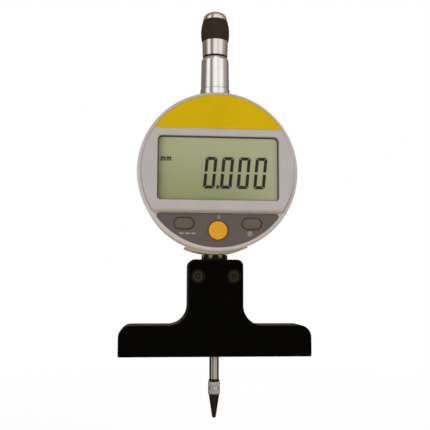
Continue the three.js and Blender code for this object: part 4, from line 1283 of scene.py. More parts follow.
@dataclass
class RearCover:
    """The screwed rear cover with its battery cup, lid and coin slot."""

    centre: float = FACE_CENTRE
    radius: float = 32.0492
    front: float = 7.2
    rear: float = 9.4
    edge: float = 0.7
    dish: Triple = (3.2, 3.5, 0.25)
    play: float = 0.2
    gap: float = 0.1
    cup_radius: float = 10.45
    cup_wall: float = 0.9
    cup_front: float = 3.75
    cup_root: float = 8
    cup_floor: float = 4.35
    lid_centre: float = 93.2484
    lid_radius: float = 11.3
    lid_front: float = 8.1
    lid_seat: float = 7.4
    slot_length: float = 12
    slot_width: float = 1.8
    slot_depth: float = 0.7
    slot_edge: float = 0.15
    screws: tuple[Pair, ...] = POSTS
    head_radius: float = 2.1
    head_height: float = 1.1
    shank_radius: float = 1
    shank_end: float = -12.2
    drive_length: float = 2.7
    drive_width: float = 0.6
    drive_depth: float = 0.5

    def tool(self, x: float, z: float, radii: Pair, depths: Pair) -> Surface:
        """A stepped drill that comes in from the rear, each radius down to its depth."""
        return turned(stepped((0, *radii, 0), (self.rear + OVERRUN, *depths)), x=x, z=z, sides=64)

    def plate(self) -> bpy.types.Mesh:
        """Turn the plate with a shallow dished back, add the cup and sink the seats.

        Returns:
            The cover.
        """
        start, end, sink = self.dish
        corners = [*stepped((0, self.radius, self.radius - start), (self.front, self.rear)),
                   (self.radius - end, self.rear - sink), (0, self.rear - sink)]
        whole = lathed(corners, [0, 0.2, self.edge, 0.1, 0.1, 0], z=self.centre, sides=192)
        cup = turned(stepped((0, self.cup_radius + self.cup_wall, 0),
                             (self.cup_front, self.cup_root)), z=self.lid_centre)
        seats = [self.tool(0, self.lid_centre, (self.lid_radius + self.play, self.cup_radius),
                           (self.lid_seat, self.cup_floor))]
        seats += [self.tool(*screw, (self.head_radius + self.play, self.shank_radius + self.play),
                            (self.rear - self.head_height - self.gap, self.cup_front - OVERRUN))
                  for screw in self.screws]
        return carved(whole, Carving.JOIN.by(cup) + Carving.CUT.by(*seats))

    def slot(self, margin: float) -> Array:
        """Outline of the coin slot grown by a margin."""
        return rounded_box(0, self.lid_centre, self.slot_length + 2 * margin,
                           self.slot_width + 2 * margin, self.slot_width / 2 + margin)

    def lid(self) -> bpy.types.Mesh:
        """The round lid with its coin slot.

        Returns:
            The lid.
        """
        rear = self.rear - self.gap
        whole = lathed(stepped((0, self.lid_radius, 0), (self.lid_front, rear)),
                       [0, 0.1, 0.3, 0], z=self.lid_centre)
        mouth = rear - self.slot_edge
        slot = swelled(self.slot, [0, 0, OVERRUN], [rear - self.slot_depth, mouth, mouth + OVERRUN])
        return carved(whole, Carving.CUT.by(slot))

    def screw(self, x: float, z: float) -> bpy.types.Mesh:
        """A pan-head screw with a cross drive.

        Args:
            x: Place across the face.
            z: Height.

        Returns:
            The screw.
        """
        rear = self.rear - self.gap
        whole = lathed(stepped((0, self.shank_radius, self.head_radius, 0),
                               (self.shank_end, self.rear - self.head_height, rear)),
                       [0, 0.3, 0, 0.1, 0.4, 0], x=x, z=z, sides=48)
        drive = self.drive_length, self.drive_width
        slots = [prism(rounded_box(x, z, *size, 0.1, 2), rear - self.drive_depth, rear + OVERRUN)
                 for size in (drive, drive[::-1])]
        return carved(whole, Carving.CUT.by(*slots))

    def build(self) -> None:
        """Make the cover, its lid and its screws."""
        Part("rear_plate", "cast_alloy", "rear_cover").make(self.plate())
        Part("coin_lid", "cast_alloy", "battery_lid").make(self.lid())
        for index, screw in enumerate(self.screws, 1):
            Part(f"cover_cross_screw_{index}", "dark_steel", f"cover_screw_{index}").make(
                self.screw(*screw))


# ---------------------------------------------------------------- front bezel and keypad


@dataclass
class FrontBezel:
    """The moulded front: rim, raised panel with its sloped foot, window mouth and key dish."""

    centre: float = FACE_CENTRE
    radius: float = 33.1992
    wall: float = 1.4
    rear: float = -10
    inner: float = -15.2
    rim_front: float = -16.6
    rim_round: float = 1.5
    rim_taper: float = 0.35
    panel_front: float = -19
    panel_radius: float = 31.2992
    panel_edge: float = 0.9
    panel_corner: float = 0.6
    groove_width: float = 0.22
    groove_shift: float = 0.12
    groove_depth: float = 0.45
    crest: float = -15.65
    foot: float = -17.25
    window_centre: float = 76.6992
    window_size: Pair = (49.6, 26.3)
    window_radii: Pair = (1.3, 2.0)
    window_depth: float = 4.4
    window_flare: float = 0.3
    dish_radius: float = 31.3492
    dish_chord: float = -17.45
    dish_corner: float = 1.2
    dish_floor: float = -15.8
    dish_flare: float = 0.28
    pill_centres: tuple[Pair, ...] = ((-13.8, 54.1492), (13.8, 54.1492))
    pill_size: Pair = (8, 4.6)
    round_centre: float = 51.3746
    round_radius: float = 3.8546
    key_gap: float = 0.2
    posts: tuple[Pair, ...] = POSTS
    post_radius: float = 2.2
    post_root: float = -15.7
    post_end: float = -9.3
    screw_radius: float = 1.2
    screw_start: float = -15.1

    def window(self, margin: float) -> Array:
        """Outline of the window mouth grown by a margin.

        Args:
            margin: Growth of the outline.

        Returns:
            The outline's points.
        """
        width, height = (size + 2 * margin for size in self.window_size)
        low, high = (max(radius + margin, 0.4) for radius in self.window_radii)
        return rounded_box(0, self.window_centre, width, height, [low, high, high, low], 8)

    def dish(self, margin: float) -> Array:
        """Outline of the key dish grown by a margin."""
        return disc_part(self.centre, self.dish_radius + margin, self.dish_chord + margin,
                         Side.BELOW, self.dish_corner + margin)

    def pill(self, index: int, margin: float) -> Array:
        """Outline of a pill key grown by a margin."""
        width, tall = (size + 2 * margin for size in self.pill_size)
        return rounded_box(*self.pill_centres[index], width, tall, tall / 2, 12)

    def raised(self, margin: float, chord: float) -> Array:
        """Outline of the raised panel above a chord, its arc grown by a margin."""
        return disc_part(self.centre, self.panel_radius + margin, chord, Side.ABOVE,
                         self.panel_corner, 144)

    def shell(self) -> Surface:
        """Turn the rim, front wall and side wall in one profile.

        Returns:
            The turned walls.
        """
        inner = self.radius - self.wall
        corners = [(0, self.rim_front), (self.radius, self.rim_front),
                   (self.radius - self.rim_taper, self.rear),
                   (inner, self.rear), (inner, self.inner), (0, self.inner)]
        return lathed(corners, [0, self.rim_round, 0.25, 0.1, 0.4, 0], z=self.centre, sides=192,
                      steps=8)

    def panel(self) -> Surface:
        """Skin the raised panel; its chord follows a quarter of an ellipse as it goes back.

        height(a) = front + depth * (1 - cos a) and chord(a) = crest - drop * sin a, for a from 0
        to 90 degrees, so that the slope leaves the panel in a soft curve.

        Returns:
            The panel.
        """
        depth = self.rim_front - self.panel_front
        turn = np.radians(np.linspace(0, 90, 19))
        chords = self.crest + (self.foot - self.crest) * np.sin(turn)
        heights = self.panel_front + depth * (1 - np.cos(turn))
        inset = np.clip(self.panel_edge - (heights - self.panel_front), 0, None)
        inset = self.panel_edge - np.sqrt(np.maximum(self.panel_edge ** 2 - inset ** 2, 0))
        outlines = [self.raised(-draw, chord) for draw, chord in zip(inset, chords)]
        return lofted([*outlines, outlines[-1]], [*heights, self.rim_front + self.wall / 2])

    def body(self) -> bpy.types.Mesh:
        """Join shell, panel and posts, then open the window, the dish and the keys.

        Returns:
            The bezel.
        """
        front = self.rim_front
        groove = prism(self.raised(self.groove_width, self.foot) + (self.groove_shift, 0),
                       front - OVERRUN, front + self.groove_depth)
        posts = [drill(*post, self.post_radius, self.post_root, self.post_end, 32)
                 for post in self.posts]
        through = front - OVERRUN, self.inner + OVERRUN
        holes = [flared(self.window, self.panel_front, self.window_depth, self.window_flare),
                 flared(self.dish, front, self.dish_floor - front, self.dish_flare)]
        holes += [prism(self.pill(index, self.key_gap), *through) for index in range(2)]
        holes.append(drill(0, self.round_centre, self.round_radius + self.key_gap, *through, 96))
        holes += [drill(*post, self.screw_radius, self.screw_start, self.post_end + OVERRUN, 22)
                  for post in self.posts]
        return carved(self.shell(), Carving.CUT.by(groove)
                      + Carving.JOIN.by(self.panel(), *posts) + Carving.CUT.by(*holes))

    def build(self) -> None:
        """Make the bezel."""
        Part("bezel_moulding", "grey_plastic", "front_bezel").make(self.body())


@dataclass
class TopBand:
    """The yellow cap over the top of the raised panel, drawn over its edge."""

    bezel: FrontBezel
    skin: float = 0.15
    chord: float = 17
    corner: float = 0.12
    front: float = -19.25
    rear: float = -17.2
    edge: float = 1.05
    fit: Pair = (0.02, 0.04)

    def outline(self, margin: float) -> Array:
        """Outline of the cap whose arc is grown by a margin."""
        return disc_part(self.bezel.centre, self.bezel.panel_radius + self.skin + margin,
                         self.chord, Side.ABOVE, self.corner, 128)

    def body(self) -> bpy.types.Mesh:
        """Skin the cap and take the panel with its own round edge out of it.

        Returns:
            The cap.
        """
        bezel = self.bezel
        radius, face = bezel.panel_radius + self.fit[0], bezel.panel_front - self.fit[1]
        panel = lathed(stepped((0, radius, 0), (face, self.rear + OVERRUN)),
                       [0, bezel.panel_edge, 0, 0], z=bezel.centre, sides=192, steps=7)
        whole = plate(self.outline, self.rear, self.front, self.edge, 8)
        return carved(whole, Carving.CUT.by(panel))

    def build(self) -> None:
        """Make the cap."""
        Part("yellow_top_film", "yellow_film", "top_band").make(self.body())


@dataclass
class Keypad:
    """The dark key panel, two pill keys, the round key and small marks beside them."""

    bezel: FrontBezel
    fit: float = 0.05
    front: float = -16.5
    rear: float = -15.9
    lip: float = 0.12
    mouth_depth: float = 2
    key_front: float = -17.3
    flange_front: float = -15.1
    key_rear: float = -14.5
    flange: float = 0.6
    pill_edge: float = 0.95
    round_edge: float = 0.45
    dish_share: float = 0.68
    mark_height: float = 0.03
    mark_lift: float = 0.002
    mark_drop: float = 4.05
    bars: Triple = (-14.8, -12.4, -10.0)
    bar: Triple = (1.8, 0.6, 0.25)
    ring_place: float = 13
    ring: Pair = (0.95, 0.32)
    dot_radius: float = 0.28
    top_ring_place: Pair = (0.3, 5.5)
    top_ring: Pair = (0.62, 0.26)

    def panel(self) -> bpy.types.Mesh:
        """Cut the panel from the dish's own outline and open it round the keys.

        Returns:
            The panel.
        """
        bezel, gap = self.bezel, self.bezel.key_gap
        whole = plate(lambda margin: bezel.dish(margin - self.fit), self.rear, self.front,
                      self.lip, 3)
        mouths = [lambda margin, index=index: bezel.pill(index, gap + margin)
                  for index in range(2)]
        mouths.append(lambda margin: circle(0, bezel.round_centre,
                                            bezel.round_radius + gap + margin, 96))
        return carved(whole, Carving.CUT.by(*(
            flared(mouth, self.front, self.mouth_depth, self.lip) for mouth in mouths)))

    def pill(self, index: int) -> Surface:
        """Skin a pill key: flange, straight side, rounded edge and a slight crown.

        Args:
            index: 0 for the left key and 1 for the right.

        Returns:
            The key.
        """
        turn = np.radians(np.linspace(0, 90, 7))
        margins = [self.flange, self.flange, 0, *(-self.pill_edge * (1 - np.cos(turn))), -1.5, -2.2]
        edge = self.key_front + 0.12 + self.pill_edge * (1 - np.sin(turn))
        heights = [self.key_rear, self.flange_front, self.flange_front, *edge,
                   self.key_front + 0.03, self.key_front]
        return swelled(lambda margin: self.bezel.pill(index, margin), margins, heights)

    def round_key(self) -> Surface:
        """Turn the round key: a crowned edge with a shallow dish inside it.

        Returns:
            The key.
        """
        radius, front = self.bezel.round_radius, self.key_front
        dish = self.dish_share * radius
        corners = [(0, front + 0.16), (dish - 0.9, front + 0.15), (dish, front + 0.02),
                   (radius - 0.15, front), (radius, front + 0.9),
                   *stepped((radius, radius + self.flange, 0), (self.flange_front, self.key_rear))]
        return lathed(corners, [0, 0.9, 0.25, self.round_edge, 0.3, 0, 0.1, 0.1, 0],
                      z=self.bezel.round_centre, steps=6)

    def mark(self, outline: Array) -> Surface:
        """A thin raised print on the panel."""
        return prism(outline, self.front - self.mark_lift, self.front - self.mark_height)

    def ring_mark(self, across: float, height: float, radius: float, width: float) -> Surface:
        """A thin printed ring.

        Args:
            across: Centre across the face.
            height: Height of the centre.
            radius: Outer radius.
            width: Width of the ring.

        Returns:
            The mark.
        """
        corners = stepped((radius - width, radius, radius - width),
                          (self.front - self.mark_height, self.front - self.mark_lift))
        return turned(corners, x=across, z=height, sides=40)

    def marks(self) -> Surface:
        """Three bars by the left key, a ring and dot by the right and a small ring on top.

        Returns:
            The marks.
        """
        row = self.bezel.pill_centres[0][1] - self.mark_drop
        x, rise = self.top_ring_place
        return together([
            *(self.mark(rounded_box(across, row, *self.bar, 3)) for across in self.bars),
            self.ring_mark(self.ring_place, row, *self.ring),
            self.mark(circle(self.ring_place, row, self.dot_radius, 16)),
            self.ring_mark(x, self.bezel.round_centre + rise, *self.top_ring)])

    def build(self) -> None:
        """Make the panel, the keys and the marks."""
        Part("key_panel", "dark_plastic", "keypad_panel", KEYPAD_PLASTIC).make(self.panel())
        for index, label in enumerate(("left", "right")):
            Part(f"pill_key_{label}", "pill_plastic", f"{label}_button", body=f"{label}_key",
                 smooth=40).make(self.pill(index))
        Part("round_key", "orange_plastic", "zero_button", body="zero_key").make(self.round_key())
        Part("key_marks", "dark_plastic", finish=MARK_INK).make(self.marks())


# ---------------------------------------------------------------- display


@dataclass
class Display:
    """The window plate, the cell with its front glass and mask, and the figures it shows."""

    bezel: FrontBezel
    fit: float = 0.05
    window_front: float = -18.1
    window_rear: float = -17.6
    glass_front: float = -17.5
    mask_inset: float = 0.02
    mask_width: float = 0.42
    # Moves the mask's opening so the border is wider at top and right, as painted shadow.
    mask_shadow_shift: Pair = (-0.08, -0.2)
    mask_layer: Pair = (0.005, 0.045)
    cell_front: float = -14.4
    cell_step: float = -13.5
    cell_rear: float = -12.6
    cell_margin: float = 1.5
    cell_ledge: float = 1.6
    figure_lift: float = 0.02
    figure_height: float = 0.03
    figure_foot: float = 68.3
    figure_top: float = 81.38
    figure_left: tuple[float, ...] = (-6.4, 0.47, 7.33, 14.2)
    figure_width: float = 4.8
    stroke: float = 1.3
    gap: float = 0.02
    waist: float = 0.75
    mitre_share: float = 0.26
    slant: float = 0.096
    point_left: float = -0.85
    point_size: Pair = (0.95, 1.45)
    letters: Pair = (-23.55, -21.2)
    letter_foot: float = 79.45
    letter_top: float = 81.15
    letter_width: float = 1.98
    letter_post: float = 0.48
    letter_shoulder: float = 0.15

    def pane(self, rear: float, front: float, edge: float, steps: int) -> Surface:
        """A plate that fits the window mouth, with its front edge rounded."""
        return plate(lambda margin: self.bezel.window(margin - self.fit), rear, front, edge, steps)

    def cell(self) -> Surface:
        """The two glasses of the cell, the rear one longer by its contact ledges.

        Returns:
            The cell.
        """
        width, height = (size + 2 * self.cell_margin for size in self.bezel.window_size)
        rear, front = (rounded_box(0, self.bezel.window_centre, width, tall, 0.2, 2)
                       for tall in (height, height - 2 * self.cell_ledge))
        return lofted([rear, rear, front, front],
                      [self.cell_rear, self.cell_step, self.cell_step, self.cell_front])

    def mask(self) -> bpy.types.Mesh:
        """The dark frame printed round the front glass, wider at top and right as painted shadow.

        Returns:
            The mask.
        """
        rear, front = (self.glass_front - lift for lift in self.mask_layer)
        outer, inner = (self.bezel.window(-self.fit - inset)
                        for inset in (self.mask_inset, self.mask_width))
        hole = prism(inner + self.mask_shadow_shift, rear + OVERRUN, front - OVERRUN)
        return carved(prism(outer, rear, front), Carving.CUT.by(hole))

    def drawn(self, outline: Corners) -> Surface:
        """An outline with the figures' small height, just in front of the glass."""
        front = self.glass_front - self.figure_lift
        return prism(outline, front, front - self.figure_height)

    def leaned(self, corners: Corners) -> Surface:
        """Lean an outline as the figures lean and draw it.

        Args:
            corners: The upright outline.

        Returns:
            The leaning shape.
        """
        points = np.array(corners, float)
        points[:, 0] += (points[:, 1] - self.figure_foot) * self.slant
        return self.drawn(points)

    def zero(self, left: float) -> Surface:
        """One nought of six bars with mitred ends.

        The upper bar and the upper left post are drawn from the figure's middle and mirrored.

        Args:
            left: Left edge of the figure.

        Returns:
            The figure.
        """
        middle = (left + self.figure_width / 2, (self.figure_foot + self.figure_top) / 2)
        wide, tall = self.figure_width / 2, (self.figure_top - self.figure_foot) / 2
        bar, gap, waist = self.stroke, self.gap, self.waist / 2
        mitre = self.mitre_share * bar
        level = [(gap + mitre - wide, tall), (wide - gap - mitre, tall),
                 (wide - bar - gap, tall - bar), (bar + gap - wide, tall - bar)]
        post = [(-wide, tall - mitre - gap), (bar - wide, tall - bar - gap),
                (bar - wide, waist + mitre * 0.4), (-wide, waist)]
        turns = [(1, 1), (1, -1), (-1, 1), (-1, -1)]
        return together([self.leaned(np.array(shape) * turn + middle)
                         for shape, count in ((level, 2), (post, 4)) for turn in turns[:count]])

    def figures(self) -> Surface:
        """The noughts and the short bar of the decimal point.

        Returns:
            The figures.
        """
        left, foot = self.point_left, self.figure_foot
        right, top = left + self.point_size[0], foot + self.point_size[1]
        point = self.leaned([(left, foot), (right, foot), (right, top), (left, top)])
        return together([point, *(self.zero(left) for left in self.figure_left)])

    def unit(self) -> Surface:
        """The two small letters of the unit, each of three posts under a round-shouldered bar.

        Returns:
            The letters.
        """
        foot, top, post = self.letter_foot, self.letter_top, self.letter_post
        shoulder, under = self.letter_shoulder, self.letter_top - self.letter_post
        letters = []
        for left in self.letters:
            right = left + self.letter_width
            inner, outer = ((left + right - post * side) / 2 for side in (1, -1))
            letters.append(self.drawn([
                (left, foot), (left, top), (right - shoulder, top), (right, top - shoulder),
                (right, foot), (right - post, foot), (right - post, under), (outer, under),
                (outer, foot), (inner, foot), (inner, under), (left + post, under),
                (left + post, foot)]))
        return together(letters)

    def build(self) -> None:
        """Make the plate, the cell and the figures."""
        window = self.pane(self.window_rear, self.window_front, 0.2, 3)
        glass = self.pane(self.cell_front - 0.02, self.glass_front, 0.1, 2)
        Part("window_plate", "clear_plastic", "display_window").make(window)
        Part("display_cell", "display_glass", "lcd_cell").make(self.cell())
        Part("display_front_glass", "display_glass").make(glass)
        Part("window_mask", "display_glass", finish=MASK_INK_AND_SHADOW).make(self.mask())
        Part("display_figures", "display_glass", finish=SEGMENT_INK).make(self.figures())
        Part("display_unit", "display_glass", finish=SEGMENT_INK).make(self.unit())


# ---------------------------------------------------------------- upper parts


@dataclass
class UpperTube:
    """The flanged nut on top of the case and the tube that guides the spindle."""

    spigot_foot: float = 105.1484
    nut_foot: float = 108.6484
    nut_top: float = 114.1484
    nut_radii: Pair = (7.25, 6.5)
    nut_bore: float = 2.4
    nut_flare: Triple = (0.1, 0.8, 2.2)
    spigot_radius: float = 5.2
    well_radius: float = 4.75
    well_depth: float = 3.6
    play: Pair = (0.05, 0.1)
    tube_foot: float = 114.2484
    tube_top: float = 128.4484
    tube_radii: Triple = (6.25, 6.05, 5.43)
    tube_shoulder: float = 1.4
    tube_bore: float = 4
    end_wall: float = 1.5
    buffer_lift: float = 0.02
    buffer_height: float = 0.3
    buffer_radius: float = 5.3

    def nut(self) -> Surface:
        """Turn the nut with its flared foot and a well for the tube's spigot.

        Returns:
            The nut.
        """
        foot, top = self.nut_radii
        inset, rise, drop = self.nut_flare
        corners = [
            *stepped((self.nut_bore, self.spigot_radius, foot), (self.spigot_foot, self.nut_foot)),
            (foot - inset, self.nut_foot + rise), (top, self.nut_top - drop),
            *stepped((top, self.well_radius, self.nut_bore),
                     (self.nut_top, self.nut_top - self.well_depth))]
        return lathed(corners, [0.1, 0.3, 0.1, 0.3, 0.8, 3, 0.12, 0.1, 0.1, 0.1], Axis.UP,
                      sides=128, steps=6)

    def tube(self) -> Surface:
        """Turn the tube with its spigot, soft top shoulder and end wall.

        Returns:
            The tube.
        """
        foot, top, crown = self.tube_radii
        side, below = self.play
        corners = [
            *stepped((self.tube_bore, self.well_radius - side, foot),
                     (self.nut_top - self.well_depth + below, self.tube_foot)),
            (top, self.tube_top - self.tube_shoulder),
            *stepped((crown, self.nut_bore, self.tube_bore),
                     (self.tube_top, self.tube_top - self.end_wall))]
        return lathed(corners, [0.1, 0.2, 0.1, 0.12, 0.6, 0.35, 0.15, 0.1, 0.1], Axis.UP,
                      sides=128)

    def buffer(self) -> Surface:
        """Turn the rubber ring that the knob comes down on, partly a painted shadow of the gap.

        Returns:
            The ring.
        """
        low = self.tube_top + self.buffer_lift
        return lathed(stepped((self.nut_bore, self.buffer_radius, self.nut_bore),
                              (low, low + self.buffer_height)),
                      [0.05, 0.05, 0.12, 0.1], Axis.UP, sides=128)

    def build(self) -> None:
        """Make the nut, the tube and its rubber ring."""
        Part("flared_nut", "chrome", "tube_nut").make(self.nut())
        Part("guide_tube", "chrome", "upper_tube").make(self.tube())
        # The black ring darkens the gap under the knob: partly a stop, partly painted shadow.
        Part("knob_buffer", "black_rubber").make(self.buffer())


@dataclass
class ReturnSpring:
    """The coil that draws the spindle down and shortens between its seats as it rises."""

    wire: float = 0.28
    radius: float = 2.9
    foot: float = 60.95
    seat: float = 105.05
    travel: float = 25.4
    turns: float = 12
    end_turns: float = 1.25
    end_pitch: float = 0.6

    def climb(self, share: Array) -> Array:
        """Height along the wire: closed turns at both ends and even ones between.

        Args:
            share: Shares of the whole wire, from 0 to 1.

        Returns:
            The heights.
        """
        low, high = self.foot + self.wire, self.seat - self.wire
        rise = self.end_turns * self.end_pitch
        stops = [0, self.end_turns, self.turns - self.end_turns, self.turns]
        return np.interp(share * self.turns, stops, [low, low + rise, high - rise, high])

    def coil(self, steps: int = 36, sides: int = 12) -> Surface:
        """Carry a round section along the winding and close both cut ends.

        point(u, v) = (r cos a, r sin a, climb(u) + wire sin v), with r = radius + wire cos v
        and a = turns * u in whole turns.

        Args:
            steps: Steps of each turn.
            sides: Sides of the wire.

        Returns:
            The closed coil.
        """
        share = np.linspace(0, 1, int(self.turns * steps) + 1)[:, None]
        turn = share * self.turns * 2 * np.pi
        around = np.linspace(0, 2 * np.pi, sides, endpoint=False)[None, :]
        reach = self.radius + self.wire * np.cos(around)
        points = Axis.UP.spread(reach * np.cos(turn), reach * np.sin(turn),
                                self.climb(share) + self.wire * np.sin(around))
        first = list(range(sides))
        last = [point + (share.size - 1) * sides for point in first]
        return Surface(points, quads(share.size, sides) + [first[::-1], last])

    def build(self) -> None:
        """Make the coil and give it a mesh of its own."""
        coil = Part("return_coil", "ground_steel", "return_spring", smooth=60).make(self.coil())
        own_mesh(coil)


@dataclass
class Knob:
    """The lifting knob: a bright skirt, a black barrel grip and a domed cap."""

    foot: float = 129.0484
    skirt_height: float = 6.85
    skirt_radii: Pair = (5.5, 5.75)
    core_radius: float = 4.2
    play: float = 0.05
    stud_radius: float = 1.35
    stud_length: float = 8.2
    grip_foot: float = 135.9984
    grip_top: float = 145.1984
    grip_radii: Triple = (5.8, 6.22, 5.5)
    grip_edge: float = 0.12
    dome_foot: float = 145.2984
    dome_height: float = 3.85
    dome_radius: float = 5.3
    dome_round: float = 2.9
    dome_edge: float = 0.15
    dome_stud: Pair = (2.0, 3.0)

    def skirt(self) -> Surface:
        """Turn the skirt and the core that carries the grip, hollow for the two studs.

        Returns:
            The skirt.
        """
        low, high = self.skirt_radii
        bore, depth = self.dome_stud
        corners = [*stepped((0, self.stud_radius, low), (self.foot + self.stud_length, self.foot)),
                   *stepped((high, self.core_radius, bore + self.play, 0),
                            (self.foot + self.skirt_height, self.grip_top, self.grip_top - depth))]
        return lathed(corners, [0, 0.1, 0.15, 0.25, 0.15, 0.1, 0.1, 0.1, 0.1, 0], Axis.UP,
                      sides=128)

    def grip(self) -> Surface:
        """Turn the barrel: its radius follows a parabola through foot, waist and top.

        Returns:
            The grip.
        """
        foot, waist, top = self.grip_radii
        share = np.linspace(0, 1, 25)
        bulge = waist - (foot + top) / 2
        barrel = foot + (top - foot) * share + 4 * bulge * share * (1 - share)
        barrel[[0, -1]] -= self.grip_edge
        height = self.grip_foot + (self.grip_top - self.grip_foot) * share
        bore = self.core_radius + self.play
        return turned([*zip(barrel, height), (bore, self.grip_top), (bore, self.grip_foot)],
                      Axis.UP, sides=128)

    def cap(self) -> Surface:
        """Turn the domed cap with its stud: an arc for the shoulder and a parabola on top.

        Returns:
            The cap.
        """
        stud, length = self.dome_stud
        top, shoulder, edge = self.dome_foot + self.dome_height, self.dome_round, self.dome_edge
        crown = (self.dome_height - shoulder) / 4
        bend = arc(self.dome_radius - shoulder, top - crown - shoulder, shoulder, 0, 82, 12)
        share = 1 - np.linspace(0, 1, 7)[1:]
        reach, height = bend[-1]
        crest = np.stack([reach * share, top - (top - height) * share ** 2], axis=1)
        foot, wide = self.dome_foot, self.dome_radius
        return turned([*stepped((0, stud, wide - edge), (foot - length, foot)),
                       (wide, foot + edge), *bend, *crest], Axis.UP, sides=128)

    def build(self) -> None:
        """Make the three pieces of the knob."""
        Part("knob_skirt", "chrome", "knob_body", KNOB_STEEL, "spindle_set").make(self.skirt())
        Part("barrel_grip", "grip_plastic", "knob_grip", body="spindle_set").make(self.grip())
        Part("domed_cap", "chrome", "knob_cap", KNOB_STEEL, "spindle_set").make(self.cap())


@dataclass
class Contact:
    """The spindle and its contact point: washer, knurled ferrule and hardened cone."""

    radius: float = 2
    foot: float = -9.85
    top: float = 128.9484
    stud_radius: float = 1.3
    stud_length: float = 8.2
    socket_radius: float = 1.25
    socket_top: float = -4.85
    play: Pair = (0.05, 0.1)
    washer: Triple = (2.275, -10.6, -9.95)
    ferrule: Triple = (2.55, -16.0, -10.7)
    teeth: int = 26
    tooth_depth: float = 0.3
    tooth_twist: float = 0.55
    end_draw: Pair = (0.3, 0.35)
    band: Pair = (0.14, 0.28)
    cone_top: float = -16.1
    cone_length: float = 9.6
    cone_radius: float = 2.2
    cone_edge: float = 0.1
    tip_radius: float = 0.85
    cone_stud: Pair = (0.95, 2.1)

    def spindle(self) -> Surface:
        """Turn the spindle with its stud above and its threaded socket below.

        Returns:
            The spindle.
        """
        corners = stepped((0, self.socket_radius, self.radius, self.stud_radius, 0),
                          (self.socket_top, self.foot, self.top, self.top + self.stud_length))
        return lathed(corners, [0, 0.1, 0.1, 0.2, 0.2, 0.1, 0.3, 0], Axis.UP)

    def ring(self) -> Surface:
        """Turn the washer.

        Returns:
            The washer.
        """
        radius, *ends = self.washer
        return lathed(stepped((self.socket_radius, radius, self.socket_radius), ends),
                      [0.1, 0.15, 0.15, 0.1], Axis.UP)

    def knurl(self, rows: int = 61, columns: int = 360) -> Surface:
        """Carry the toothed outline up the ferrule with two crossing twists.

        radius(a, h) = outer - depth * (1 - |cos(n a / 2 + t h) * cos(n a / 2 - t h)| ** 0.5), so
        that the grooves of both hands cross in diamonds. The two ends are drawn in, and a plain
        band runs round the middle.

        Args:
            rows: Rows of points up the ferrule.
            columns: Points round it.

        Returns:
            The ferrule with its inner stud and its socket.
        """
        outer, low, high = self.ferrule
        height = np.linspace(low, high, rows)[:, None]
        turn = np.linspace(0, 2 * np.pi, columns, endpoint=False)[None, :]
        twist = (height - low) * self.teeth / (2 * outer) * self.tooth_twist
        hand = np.abs(np.cos(self.teeth * turn / 2 + twist) * np.cos(self.teeth * turn / 2 - twist))
        draw, reach = self.end_draw
        ends = np.clip(1 - np.minimum(height - low, high - height) / reach, 0, 1)
        radius = outer - self.tooth_depth * (1 - hand ** 0.5) - draw * ends ** 2
        sunk, half = self.band
        plain = np.abs(height - (low + high) / 2) < half
        radius = np.where(plain, outer - sunk, radius)
        points = Axis.UP.spread(radius * np.cos(turn), radius * np.sin(turn),
                                np.broadcast_to(height, radius.shape))
        side, above = self.play
        bore, floor = self.cone_stud[0] + side, low + self.cone_stud[1] + above
        stud, end = self.socket_radius - side, self.socket_top - above
        socket, neck = (turned(profile, Axis.UP, sides=columns).points for profile in (
            [(0, floor), (bore, floor), (bore, low)], [(stud, high), (stud, end), (0, end)]))
        return Surface(np.concatenate([socket, points, neck]), quads(rows + 6, columns))

    def cone(self) -> Surface:
        """Turn the cone with its rounded tip and stud.

        Returns:
            The cone.
        """
        tip, top, edge = self.cone_top - self.cone_length, self.cone_top, self.cone_edge
        slope = math.degrees(math.atan2(self.cone_radius - self.tip_radius,
                                        self.cone_length - self.tip_radius))
        stud, depth = self.cone_stud
        return turned([*arc(0, tip + self.tip_radius, self.tip_radius, -90, -slope, 10),
                       (self.cone_radius, top - edge),
                       *stepped((self.cone_radius - edge, stud, 0), (top, top + depth))], Axis.UP)

    def build(self) -> None:
        """Make the spindle and the contact point."""
        for name, slot, node, finish, smooth, shape in (
                ("long_spindle", "chrome", "spindle", GROUND_STEEL, 32, self.spindle()),
                ("lock_washer", "dark_steel", "contact_washer", None, 32, self.ring()),
                ("knurled_ferrule", "ground_steel", "contact_ferrule", KNURLED_STEEL, 50,
                 self.knurl()),
                ("hardened_cone", "dark_steel", "contact_cone", CONE_STEEL, 32, self.cone())):
            Part(name, slot, node, finish, "spindle_set", smooth).make(shape)


# ---------------------------------------------------------------- studio


